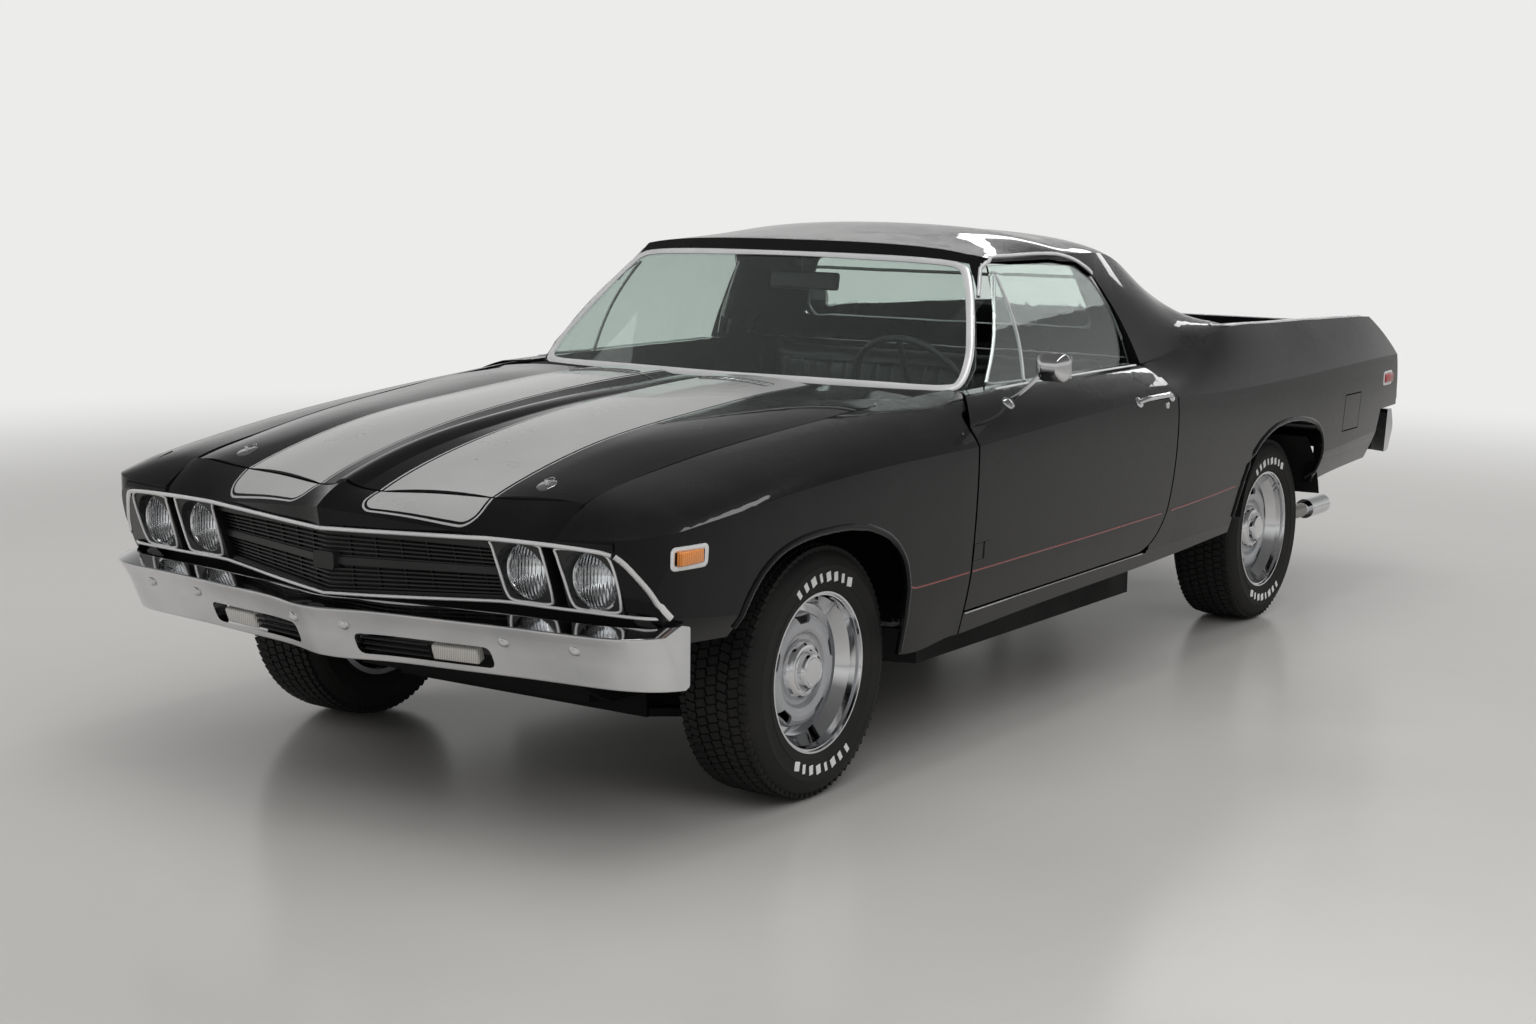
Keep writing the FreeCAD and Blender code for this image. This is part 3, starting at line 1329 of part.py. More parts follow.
# Tail lamps
tail_lamp_in_share = 0.84760
tail_lamp_in = tail_lamp_in_share * half_width
tail_lamp_out_share = 0.94781
tail_lamp_out = tail_lamp_out_share * half_width
tail_lamp_low_share = 0.49929
tail_lamp_low = tail_lamp_low_share * roof_height
tail_lamp_high_share = 0.61756
tail_lamp_high = tail_lamp_high_share * roof_height
tail_lamp_depth = 16.0


def make_tail_lamps():
    outline = [(along(s), h * roof_height) for s, h in tail_profile_shares[3:6]]
    out = []
    for y, z in outline:
        out.append((y + hair_gap, z))
    back = [(y + tail_lamp_depth, z) for y, z in reversed(out)]
    lamp = side_prism(out + back, tail_lamp_in, tail_lamp_out)
    lamp = lamp.common(box(0, half_width, 0, wheelbase, tail_lamp_low, tail_lamp_high))
    return both(lamp)


# Wheels
def tyre_outline():
    seat = rim_half_width - flange_thickness
    side = [(seat, bead_radius), (seat, flange_radius + hair_gap * 2)]
    side += [(out * tyre_half_width, up * tyre_radius) for out, up in tyre_side_shares]
    side.append((tread_half_width, tyre_radius))
    return [(-x, r) for x, r in side] + [(x, r) for x, r in reversed(side)]


def make_tyre(centre):
    return turned(tyre_outline(), centre, Vector(1, 0, 0))


def make_rim(centre, side):
    """Wheel with a pressed disc, seen from the side it faces: +1 on the driver's side."""
    w = rim_half_width
    bead = bead_radius - hair_gap
    lip, well = w - flange_thickness + hair_gap, bead - rim_drop
    outside = [(-w, flange_radius), (-lip, flange_radius), (-lip, bead), (-w + bead_land, bead),
               (-w + bead_land + well_slope, well), (w - bead_land - well_slope * 2,
                                                     well), (w - bead_land, bead),
               (lip, bead), (lip, flange_radius), (w, flange_radius)]
    inside = [(-w, bead - rim_wall), (-w + bead_land, bead - rim_wall),
              (-w + bead_land + well_slope, well - rim_wall), (w - bead_land - well_slope * 2,
                                                               well - rim_wall),
              (w - bead_land, bead - rim_wall), (w, flange_radius - rim_wall)]
    barrel = outside + list(reversed(inside))
    face = w - disc_recess
    inner = well - rim_wall
    front = [(face + rise * disc_dish, out * disc_radius) for rise, out in disc_shares]
    back = [(x - disc_thickness, r - disc_thickness / 2) for x, r in front]
    disc = [(back[0][0], inner + touch_overlap), (front[0][0], inner + touch_overlap)] + front
    disc += [(front[-1][0], 0.0), (face - hub_length, 0.0), (face - hub_length, hub_bore_wall),
             (face - disc_thickness, hub_radius)] + list(reversed(back))
    rim = turned(barrel, Vector(0, 0, 0), Vector(1, 0, 0))
    web = turned(disc, Vector(0, 0, 0), Vector(1, 0, 0))
    for index in range(slot_count):
        angle = 2 * math.pi * index / slot_count
        slot = slot_cutter(face)
        slot.rotate(Vector(0, 0, 0), Vector(1, 0, 0), math.degrees(angle))
        web = web.cut(slot)
    cap = turned([(face + rise * cap_height, out * cap_radius) for rise, out in cap_shares],
                 Vector(0, 0, 0), Vector(1, 0, 0))
    wheel = fused([rim, web, cap])
    bore = Part.makeCylinder(spindle_radius + spindle_clearance, hub_length,
                             Vector(face - hub_length - spindle_clearance, 0, 0), Vector(1, 0, 0))
    wheel = wheel.cut(bore)
    if side < 0:
        wheel = mirrored(wheel)
    wheel.translate(centre)
    return wheel


def slot_cutter(face):
    """Opening near the disc's edge, wider at its outer side."""
    corners = [Vector(face - overrun, -slot_foot / 2, slot_inner_radius),
               Vector(face - overrun, slot_foot / 2, slot_inner_radius),
               Vector(face - overrun, slot_length / 2, slot_outer_radius - slot_round),
               Vector(face - overrun, -slot_length / 2, slot_outer_radius - slot_round)]
    wire = rounded_wire(corners, [slot_round] * len(corners))
    return Part.Face(wire).extrude(Vector(overrun * 2, 0, 0))


def wheel_centre(side, place):
    return Vector(side * half_track, place, tyre_radius)


# Knuckles with their spindles and brakes, front suspension arms
def make_knuckle():
    kingpin_x = half_track - kingpin_inset
    z = tyre_radius
    y = front_axle_place
    post = rod(Vector(kingpin_x, y, z - knuckle_height / 2), Vector(kingpin_x, y, z + knuckle_height / 2),
               knuckle_radius)
    face = half_track + rim_half_width - disc_recess
    spindle = rod(Vector(kingpin_x, y, z), Vector(face - hub_set_back, y, z), spindle_radius)
    brake_x = face - hub_length - brake_thickness - hub_set_back
    brake = rod(Vector(brake_x, y, z), Vector(brake_x + brake_thickness, y, z), brake_radius)
    arm_high = z - steering_arm_drop
    arm = box(kingpin_x - steering_arm_half, kingpin_x + steering_arm_half, y, y + steering_arm_length,
              arm_high - steering_arm_thickness, arm_high)
    return fused([post, spindle, brake, arm])


def make_front_arms():
    kingpin_x = half_track - kingpin_inset
    y = front_axle_place
    root_x = front_rail_place + rail_width / 2 + hair_gap
    pieces = []
    for z in (tyre_radius - knuckle_height / 2 - arm_thickness - hair_gap * 3,
              tyre_radius + knuckle_height / 2 + hair_gap * 3):
        outline = [(kingpin_x + arm_tip_half, y - arm_tip_half), (kingpin_x + arm_tip_half,
                                                                  y + arm_tip_half),
                   (kingpin_x - arm_tip_length, y + arm_tip_half * 2), (root_x, y + arm_root_half),
                   (root_x,
                    y + arm_root_half - arm_root_width), (kingpin_x - arm_tip_length - arm_tip_half, y),
                   (root_x, y - arm_root_half + arm_root_width), (root_x, y - arm_root_half),
                   (kingpin_x - arm_tip_length, y - arm_tip_half * 2)]
        pieces.append(plan_prism(outline, z, z + arm_thickness))
    return both(Part.makeCompound(pieces))


def make_rear_axle():
    z, y = tyre_radius, rear_axle_place
    face = half_track + rim_half_width - disc_recess
    drum_x = face - hub_length - hub_set_back
    tube = rod(Vector(-drum_x, y, z), Vector(drum_x, y, z), axle_tube_radius)
    spindle = rod(Vector(-face + hub_set_back, y, z), Vector(face - hub_set_back, y, z), spindle_radius)
    pot = turned([(out * differential_length, up * differential_radius) for out, up in differential_shares],
                 Vector(0, y, z), Vector(1, 0, 0))
    drums = [rod(Vector(s * (drum_x - drum_length), y, z), Vector(s * drum_x, y, z),
                 drum_radius) for s in (1, -1)]
    joint = Vector(0, gearbox_rear_y + yoke_length, shaft_front_z)
    shaft = rod(Vector(0, y, z), joint, shaft_radius)
    yoke = rod(joint, Vector(0, gearbox_rear_y + hair_gap, shaft_front_z), shaft_radius)
    pieces = [tube, spindle, pot, shaft, yoke, Part.makeSphere(shaft_radius, joint)] + drums
    for side in (1, -1):
        start = Vector(side * trailing_arm_place, y, z)
        end = Vector(side * trailing_arm_place, rear_rail_rows[0][0] + crossmember_length / 2 + hair_gap, z)
        pieces.append(rod(start, end, trailing_arm_radius))
    return fused(pieces)


# Frame: places as forward place and height of the rail's centre line
front_rail_shares = [
    (-0.22064, 0.29745), (-0.17481, 0.28045), (-0.10353, 0.20963), (0.14426, 0.20963)]
middle_rail_shares = [
    (0.23252, 0.18555), (0.70095, 0.18555)]
rear_rail_shares = [
    (0.80957, 0.24929), (0.89783, 0.35269), (1.10149, 0.35269), (1.18296, 0.31161), (1.36286, 0.31870)]
front_rail_rows = [(along(back), up * roof_height) for back, up in front_rail_shares]
middle_rail_rows = [(along(back), up * roof_height) for back, up in middle_rail_shares]
rear_rail_rows = [(along(back), up * roof_height) for back, up in rear_rail_shares]
tower_half = 160.0
tower_top_share = 0.34278
tower_top = tower_top_share * roof_height
trailing_arm_place_share = 0.43841
trailing_arm_place = trailing_arm_place_share * half_width
trailing_arm_radius = 20.0
bracket_reach = 60.0


def make_frame():
    rows = [(front_rail_place, y, z) for y, z in front_rail_rows]
    rows += [(middle_rail_place, y, z) for y, z in middle_rail_rows]
    rows += [(rear_rail_place, y, z) for y, z in rear_rail_rows]
    rail = beam(rows, rail_width, rail_depth)
    half = crossmember_length / 2
    pieces = [rail, mirrored(rail)]
    low = front_rail_rows[3][1] - rail_depth / 2
    engine_cross = box(-front_rail_place, front_rail_place, front_rail_rows[2][0] - half,
                       front_rail_rows[2][0] + half, low, engine_low - hair_gap)
    arm_cross = box(-front_rail_place - rail_width / 2, front_rail_place + rail_width / 2,
                    front_axle_place - tower_half, front_axle_place + tower_half,
                    tyre_radius - knuckle_height / 2 - arm_thickness - hair_gap * 3, low + touch_overlap)
    pieces.extend([engine_cross, arm_cross])
    rail_top = rail_height + rail_depth / 2
    for y in (gearbox_mount_y, middle_rail_rows[1][0]):
        pieces.append(box(-middle_rail_place, middle_rail_place, y - half, y + half,
                          rail_top - cross_depth, rail_top))
    for y, z in (rear_rail_rows[1], (rear_rail_rows[4][0] - half, rear_rail_rows[4][1])):
        pieces.append(box(-rear_rail_place, rear_rail_place, y - half, y + half, z - half, z + half / 2))
    for side in (1, -1):
        x0, x1 = sorted((side * (front_rail_place - rail_width / 2),
                         side * (front_rail_place + rail_width / 2)))
        pieces.append(box(x0, x1, front_axle_place - tower_half, front_axle_place + tower_half, low,
                          tower_top))
        x0, x1 = sorted((side * (trailing_arm_place - bracket_reach / 2), side * rear_rail_place))
        y, z = rear_rail_rows[0]
        pieces.append(box(x0, x1, y - half, y + half, tyre_radius - bracket_reach / 2, z))
    return fused(pieces)


# Engine and gearbox: one plain block at its real place
engine_half_share = 0.27140
engine_half = engine_half_share * half_width
engine_front_y_share = -0.12390
engine_front_y = along(engine_front_y_share)
engine_rear_y_share = 0.15445
engine_rear_y = along(engine_rear_y_share)
engine_low_share = 0.23513
engine_low = engine_low_share * roof_height
engine_high_share = 0.56657
engine_high = engine_high_share * roof_height
gearbox_half_share = 0.11482
gearbox_half = gearbox_half_share * half_width
gearbox_rear_y_share = 0.47013
gearbox_rear_y = along(gearbox_rear_y_share)
gearbox_mount_y_share = 0.33435
gearbox_mount_y = along(gearbox_mount_y_share)
gearbox_low_share = 0.22096
gearbox_low = gearbox_low_share * roof_height
gearbox_high_share = 0.29603
gearbox_high = gearbox_high_share * roof_height
yoke_length = 60.0
shaft_front_z_share = 0.26346
shaft_front_z = shaft_front_z_share * roof_height


def make_engine():
    block = box(-engine_half, engine_half, engine_front_y, engine_rear_y, engine_low, engine_high)
    gearbox = box(-gearbox_half, gearbox_half, engine_rear_y, gearbox_rear_y, gearbox_low, gearbox_high)
    return fused([block, gearbox])


# Floor, firewall and cowl
floor_z_share = 0.23017
floor_z = floor_z_share * roof_height
floor_thickness = 12.0
floor_half_share = 0.78497
floor_half = floor_half_share * half_width
toe_y_share = 0.25628
toe_y = along(toe_y_share)
toe_rise = 30.0
tunnel_half_share = 0.15658
tunnel_half = tunnel_half_share * half_width
tunnel_top_share = 0.31161
tunnel_top = tunnel_top_share * roof_height
firewall_y_share = 0.18839
firewall_y = along(firewall_y_share)
firewall_thickness = 20.0
firewall_low_share = 0.25212
firewall_low = firewall_low_share * roof_height
cowl_low_share = 0.64093
cowl_low = cowl_low_share * roof_height
cowl_front_z_share = 0.65722
cowl_front_z = cowl_front_z_share * roof_height
cowl_step_y_share = 0.22641
cowl_step_y = along(cowl_step_y_share)
cowl_step_z_share = 0.68130
cowl_step_z = cowl_step_z_share * roof_height
cowl_mid_y_share = 0.26646
cowl_mid_y = along(cowl_mid_y_share)
cowl_rear_y_share = 0.30041
cowl_rear_y = along(cowl_rear_y_share)
pillar_inner_share = 0.77766
pillar_inner = pillar_inner_share * half_width
pillar_outer_share = 0.94468
pillar_outer = pillar_outer_share * half_width
pillar_rear_gap = 12.0
pillar_length = 70.0
pillar_top_share = 0.66572
pillar_top = pillar_top_share * roof_height
hinge_height_shares = (0.3966, 0.5524)
hinge_tall = 36.0
hinge_pocket_tall = 48.0
hinge_pin_radius = 4.5
hinge_elbow = 62.0
hinge_leaf = 16.0
hinge_pocket_in = 98.0
hinge_pocket_out = 14.0
hinge_pocket_back = 26.0
apron_x_share = 0.45930
apron_x = apron_x_share * half_width
apron_skin = 10.0
apron_stations_share = [-0.150, -0.050, 0.050, 0.125]
apron_low_share = 0.30453
apron_low = apron_low_share * roof_height
apron_top_share = 0.52550
apron_top = apron_top_share * roof_height
core_front_y_share = -0.22573
core_front_y = along(core_front_y_share)
core_thickness = 28.0
core_low_share = 0.33640
core_low = core_low_share * roof_height
core_half_share = 0.83299
core_half = core_half_share * half_width
radiator_half_share = 0.35491
radiator_half = radiator_half_share * half_width
radiator_top_share = 0.49929
radiator_top = radiator_top_share * roof_height
radiator_depth = 50.0
hood_pin_y_share = 0.21079
hood_pin_y = along(hood_pin_y_share)
hood_pin_z_share = 0.66572
hood_pin_z = hood_pin_z_share * roof_height
hood_pin_x_share = 0.66806
hood_pin_x = hood_pin_x_share * half_width
hood_pin_radius = 4.0
hood_ear_radius = 8.0
hood_ear_length = 20.0
hood_ear_rise = 22.0
hood_post_half = 6.0


def make_floor():
    rows = [(firewall_y, floor_z + toe_rise), (toe_y, floor_z), (bed_front_y - hair_gap, floor_z),
            (bed_front_y - hair_gap, floor_z + floor_thickness), (toe_y, floor_z + floor_thickness),
            (firewall_y, floor_z + toe_rise + floor_thickness)]
    pan = side_prism(rows, -floor_half, floor_half)
    tunnel = box(-tunnel_half, tunnel_half, firewall_y, bed_front_y - hair_gap, floor_z, tunnel_top)
    riser = box(-floor_half, floor_half, bed_front_y - bed_wall, bed_front_y - hair_gap, floor_z,
                bed_front_top)
    pan = fused([pan, tunnel, riser])
    hollow = box(-tunnel_half + floor_thickness, tunnel_half - floor_thickness, firewall_y - overrun,
                 bed_front_y + overrun, 0.0, tunnel_top - floor_thickness)
    return pan.cut(hollow)


def hinge_heights():
    return [share * roof_height for share in hinge_height_shares]


def hinge_place():
    """Place of the upright hinge line of the driver's door."""
    return (body_point(shoulder_shares, door_front_share).x - hinge_inset,
            along(door_front_share) + panel_gap / 2 + hinge_back)


def make_hinge(z):
    """Bent strap from the pillar to the pin, with the eye that the pin turns in."""
    x, y = hinge_place()
    front = along(door_front_share) - pillar_rear_gap
    eye = Part.makeCylinder(hinge_pin_radius * 2, hinge_tall, Vector(x, y, z - hinge_tall / 2))
    back = box(x - hinge_elbow, x, y - hinge_leaf / 2, y + hinge_leaf / 2, z - hinge_tall / 2,
               z + hinge_tall / 2)
    leaf = box(x - hinge_elbow - hinge_leaf / 2, x - hinge_elbow + hinge_leaf / 2, front - touch_overlap,
               y + hinge_leaf / 2, z - hinge_tall / 2, z + hinge_tall / 2)
    strap = eye.multiFuse([back, leaf])
    bore = Part.makeCylinder(hinge_pin_radius + hair_gap, hinge_tall * 2, Vector(x, y, z - hinge_tall))
    return strap.cut(bore)


def hinge_pocket(z):
    x, y = hinge_place()
    pocket = box(x - hinge_pocket_in, x + hinge_pocket_out, y - hinge_back * 2, y + hinge_pocket_back,
                 z - hinge_pocket_tall / 2, z + hinge_pocket_tall / 2)
    pin = Part.makeCylinder(hinge_pin_radius, hinge_pocket_tall, Vector(x, y, z - hinge_pocket_tall / 2))
    return pocket.cut(pin)


def make_apron(fender):
    """Inner wing: wall beside the engine, shelf over the tyre and flange up to the fender's inner edge."""
    wall = box(apron_x, apron_x + apron_skin, core_front_y + core_thickness, firewall_y - firewall_thickness,
               apron_low, apron_top)
    flange_wires, shelf_wires = [], []
    for s in apron_stations_share:
        seam = body_point(seam_shares, s)
        y = seam.y
        inner, outer, top = seam.x + apron_skin / 2, seam.x + apron_skin * 1.5, seam.z - apron_skin / 2
        flange = [Vector(inner, y, apron_top - apron_skin), Vector(outer, y, apron_top - apron_skin),
                  Vector(outer, y, top), Vector(inner, y, top)]
        shelf = [Vector(apron_x, y, apron_top - apron_skin), Vector(outer, y, apron_top - apron_skin),
                 Vector(outer, y, apron_top), Vector(apron_x, y, apron_top)]
        flange_wires.append(Part.makePolygon(flange + [flange[0]]))
        shelf_wires.append(Part.makePolygon(shelf + [shelf[0]]))
    apron = fused([wall, loft(flange_wires, True), loft(shelf_wires, True)])
    notch = box(apron_x - overrun, apron_x + overrun, front_axle_place - tower_half - overrun,
                front_axle_place + tower_half + overrun, 0.0, tower_top + apron_skin * 2)
    return apron.cut(notch).cut(fender)


def make_engine_bay(fender):
    back = firewall_y - hair_gap
    wall = box(-pillar_inner, pillar_inner, back - firewall_thickness, back, firewall_low, cowl_low)
    wall = wall.cut(box(-tunnel_half, tunnel_half, -wheelbase, 0, 0, tunnel_top))
    cowl = side_prism([(back - firewall_thickness, cowl_low), (back - firewall_thickness, cowl_front_z),
                       (cowl_step_y, cowl_front_z), (cowl_step_y + hair_gap, cowl_step_z),
                       (cowl_mid_y, windshield_base_z - hair_gap), (cowl_rear_y,
                                                                    windshield_base_z - hair_gap),
                       (cowl_rear_y, cowl_low)], -pillar_inner, pillar_inner)
    pieces = [wall, cowl]
    core = box(-core_half, core_half, core_front_y + hair_gap, core_front_y + core_thickness, core_low,
               apron_top)
    core = core.cut(box(-radiator_half, radiator_half, -wheelbase, 0, core_low + overrun, radiator_top))
    radiator = box(-radiator_half, radiator_half, core_front_y + hair_gap, core_front_y + radiator_depth,
                   core_low + overrun, radiator_top)
    pieces.extend([core, radiator])
    front = along(door_front_share) - pillar_rear_gap
    pillar_low = floor_z + toe_rise + floor_thickness + hair_gap
    pillar = box(pillar_inner - touch_overlap, pillar_outer, front - pillar_length, front, pillar_low,
                 pillar_top)
    half = [make_apron(fender), largest(pillar.cut(fender))]
    half.extend(make_hinge(z) for z in hinge_heights())
    post = box(hood_pin_x, hood_pin_x + hood_ear_length, hood_pin_y - hood_post_half,
               hood_pin_y + hood_post_half,
               cowl_front_z - touch_overlap, hood_pin_z + hood_post_half)
    bore = rod(Vector(0, hood_pin_y, hood_pin_z), Vector(half_width, hood_pin_y, hood_pin_z),
               hood_pin_radius + hair_gap)
    half.append(post.cut(bore))
    for piece in half:
        pieces.extend([piece, mirrored(piece)])
    return fused(pieces)


# Inside: outline of the dashboard as forward place and height
dash_side_gap = 54.0
dash_shares = [
    (0.30041, 0.67635), (0.30041, 0.55241), (0.33435, 0.52408), (0.35472, 0.55949), (0.36151, 0.63739),
    (0.34114, 0.67139)]
dash_half = door_inner_x - dash_side_gap
dash_round = 16.0
column_radius = 26.0
hub_depth = 14.0


def make_dashboard():
    outline = [(along(back), up * roof_height) for back, up in dash_shares]
    outline[0] = (cowl_rear_y + hair_gap, outline[0][1])
    outline[1] = (cowl_rear_y + hair_gap, outline[1][1])
    dash = round_side_prism(outline, [0, dash_round, dash_round, dash_round, dash_round, dash_round],
                            -dash_half, dash_half)
    return dash.cut(rod(column_foot, wheel_hub, column_radius + hair_gap))


column_x_share = 0.38831
column_x = column_x_share * half_width
wheel_hub = Vector(column_x, -430.0, 905.0)
column_foot = Vector(column_x, -1040.0, 600.0)
steering_wheel_radius = 198.0
steering_rim_radius = 11.0
steering_hub_radius = 42.0
steering_spoke_radius = 9.0
steering_spoke_shares = (0.0, 0.5, 0.75)


def column_axis():
    axis = wheel_hub - column_foot
    axis.normalize()
    return axis


def make_column():
    axis = column_axis()
    return rod(column_foot, wheel_hub - axis * (hub_depth + hair_gap), column_radius)


def make_steering_wheel():
    axis = column_axis()
    rim = Part.makeTorus(steering_wheel_radius, steering_rim_radius, wheel_hub, axis)
    hub = Part.makeCylinder(steering_hub_radius, hub_depth * 2, wheel_hub - axis * hub_depth, axis)
    pieces = [rim, hub]
    across = axis.cross(Vector(1, 0, 0))
    across.normalize()
    for share in steering_spoke_shares:
        turn = 2 * math.pi * share
        direction = Vector(1, 0, 0) * math.cos(turn) + across * math.sin(turn)
        pieces.append(rod(wheel_hub, wheel_hub + direction * steering_wheel_radius, steering_spoke_radius))
    return fused(pieces)


seat_half_share = 0.69729
seat_half = seat_half_share * half_width
cushion_shares = [(0.5143, 0.31161), (0.6908, 0.31161), (0.6942, 0.40368), (0.5211, 0.43909)]
seat_back_shares = [(0.6483, 0.41785), (0.6891, 0.39660), (0.7060, 0.70822), (0.6738, 0.71530)]
seat_round = 42.0
seat_fold = 12.0


def make_seat():
    seat_low = tunnel_top + hair_gap
    outline = [(along(back), up * roof_height) for back, up in cushion_shares]
    outline[0] = (outline[0][0], seat_low)
    outline[1] = (outline[1][0], seat_low)
    cushion = round_side_prism(outline, [seat_fold, seat_fold, seat_round, seat_round], -seat_half,
                               seat_half)
    outline = [(along(back), up * roof_height) for back, up in seat_back_shares]
    back = round_side_prism(outline, [seat_fold, seat_fold, seat_round, seat_round], -seat_half, seat_half)
    return fused([cushion, back])


# Mirror on the driver's door
mirror_head_share = (1.0522, 0.31331, 0.74292)
mirror_head = spot(mirror_head_share)
mirror_base_share = (0.9395, 0.30041, 0.67635)
mirror_base = spot(mirror_base_share)


mirror_radius = 72.0
mirror_back_radius = 46.0
mirror_depth = 44.0
mirror_tall = 92.0
mirror_arm_radius = 9.0
mirror_foot_tall = 26.0
mirror_foot_radius = 22.0


def make_mirror(door):
    head = Part.makeCone(mirror_radius, mirror_back_radius, mirror_depth,
                         mirror_head + Vector(0, mirror_depth / 2, 0), Vector(0, -1, 0))
    head = head.common(box(mirror_head.x - mirror_radius, mirror_head.x + mirror_radius, far_ahead,
                           far_behind,
                           mirror_head.z - mirror_tall / 2, mirror_head.z + mirror_tall / 2))
    arm = rod(mirror_base, mirror_head, mirror_arm_radius)
    foot = rod(mirror_base - Vector(0, 0, mirror_foot_tall / 2), mirror_base + Vector(0, 0,
                                                                                      mirror_foot_tall / 2),
               mirror_foot_radius)
    return fused([head, arm, foot]).cut(door)


# Exhaust and fuel tank
exhaust_z_share = 0.17564
exhaust_z = exhaust_z_share * roof_height
exhaust_x_share = 0.24008
exhaust_x = exhaust_x_share * half_width
exhaust_radius = 28.0
muffler_radius = 62.0
muffler_half = 300.0
exhaust_tip_share = (0.6263, 1.43075, 0.17635)
exhaust_tip = spot(exhaust_tip_share)
exhaust_tip_radius = 39.0
exhaust_tip_bore = 35.0
exhaust_tip_length = 190.0
exhaust_tip_depth = 60.0
exhaust_shares = [(0.24008, 0.15445, 0.17564), (0.24008, 0.86388, 0.17564), (0.37578, 0.94196, 0.29603),
                  (0.37578, 1.04718, 0.29603), (0.45929, 1.14562, 0.21246), (0.6263, 1.28479, 0.17635)]
muffler_middle_share = 0.57196
hanger_half = 16.0


def make_exhaust():
    points = [spot(row) for row in exhaust_shares]
    end = exhaust_tip
    axis = (end - points[-1]).normalize()
    points.append(end - axis * exhaust_tip_depth * 2)
    start = Part.Wire(Part.makeCircle(exhaust_radius, points[0], points[1] - points[0]))
    pipe = Part.makePolygon(points).makePipeShell([start], True, False, 1)
    hanger = box(exhaust_x - hanger_half, exhaust_x + hanger_half, gearbox_mount_y - hanger_half,
                 gearbox_mount_y + hanger_half, exhaust_z,
                 rail_height + rail_depth / 2 - cross_depth - hair_gap)
    middle = along(muffler_middle_share)
    muffler = rod(Vector(exhaust_x, middle - muffler_half, exhaust_z),
                  Vector(exhaust_x, middle + muffler_half, exhaust_z), muffler_radius)
    tip = rod(end - axis * exhaust_tip_length, end, exhaust_tip_radius)
    bore = rod(end - axis * exhaust_tip_depth, end + axis, exhaust_tip_bore)
    return both(fused([pipe, hanger, muffler, tip.cut(bore)]))


tank_half_share = 0.41754
tank_half = tank_half_share * half_width
tank_front_share = 1.17617
tank_rear_share = 1.33231
tank_low_share = 0.28329
tank_low = tank_low_share * roof_height


def make_tank():
    return box(-tank_half, tank_half, along(tank_front_share), along(tank_rear_share), tank_low,
               bed_floor_z - bed_floor_thickness - hair_gap)


def make_fuel_lid():
    lid = make_fuel_door(0.0, 0.0, fuel_door_thickness)
    low, high = fuel_hinge_ends()
    return fused([lid, rod(low, high, fuel_hinge_radius)])


def fuel_hinge_ends():
    """Lower and upper end of the lid's hinge pin, which leans with the body side."""
    share = (fuel_door_y0 - front_axle_place) / wheelbase
    y, rim = fuel_door_y0 + fuel_hinge_back, panel_gap / 2 - hair_gap * 2
    low, high = fuel_door_z0 - rim, fuel_door_z1 + rim
    return (Vector(side_skin(share, low) - fuel_hinge_depth, y, low),
            Vector(side_skin(share, high) - fuel_hinge_depth, y, high))


fuel_hinge_radius = 3.5
fuel_hinge_depth = 5.5
fuel_hinge_back = 9.0


def build():
    fender = make_fender()
    save("fender_left", fender)
    save("fender_right", mirrored(fender))
    door = make_door()
    save("door_left", door)
    save("door_right", mirrored(door))
    glass = make_door_glass(door)
    save("door_glass_left", glass)
    save("door_glass_right", mirrored(glass))
    quarter = make_quarter()
    save("cab", make_cab().cut(quarter).cut(mirrored(quarter)))
    save("windshield", make_windshield())
    save("rear_window", make_rear_window())
    save("quarter_right", mirrored(quarter))
    pocket = make_fuel_door(panel_gap / 2, -overrun, fuel_pocket_depth)
    save("quarter_left", quarter.cut(pocket))
    save("fuel_door", make_fuel_lid())
    save("rockers", both(make_rocker()))
    save("hood", make_hood())
    header = make_header()
    save("header_panel", header)
    housings = [make_housing(outer_corners, outer_lamp), make_housing(inner_corners, inner_lamp)]
    save("headlamp_housings", both(Part.makeCompound([housing.cut(header) for housing in housings])))
    save("headlamps", both(Part.makeCompound([make_lamp(outer_lamp), make_lamp(inner_lamp)])))
    save("grille", make_grille())
    save("front_bumper", make_front_bumper(fender))
    save("marker_lamps", make_marker_lamps(fender, quarter))
    bed = make_bed()
    save("rear_bumper", make_rear_bumper().cut(bed))
    save("bed", bed)
    save("tailgate", make_tailgate())
    save("tail_lamps", make_tail_lamps())
    save("frame", make_frame())
    save("engine", make_engine())
    save("floor_pan", make_floor())
    save("engine_bay", make_engine_bay(fender))
    save("dashboard", make_dashboard())
    save("steering_column", make_column())
    save("steering_wheel", make_steering_wheel())
    save("seat", make_seat())
    save("mirror", make_mirror(door))
    save("exhaust", make_exhaust())
    save("fuel_tank", make_tank())
    save("front_arms", make_front_arms())
    save("rear_axle", make_rear_axle())
    knuckle = make_knuckle()
    save("knuckle_left", knuckle)
    save("knuckle_right", mirrored(knuckle))
    for end, place in (("front", front_axle_place), ("rear", rear_axle_place)):
        for name, side in (("left", 1), ("right", -1)):
            centre = wheel_centre(side, place)
            save("tyre_" + end + "_" + name, make_tyre(centre))
            save("rim_" + end + "_" + name, make_rim(centre, side))


build()
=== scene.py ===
import json
import math

import bmesh
import bpy
from mathutils import Matrix, Vector
from mathutils.bvhtree import BVHTree
from mathutils.geometry import interpolate_bezier


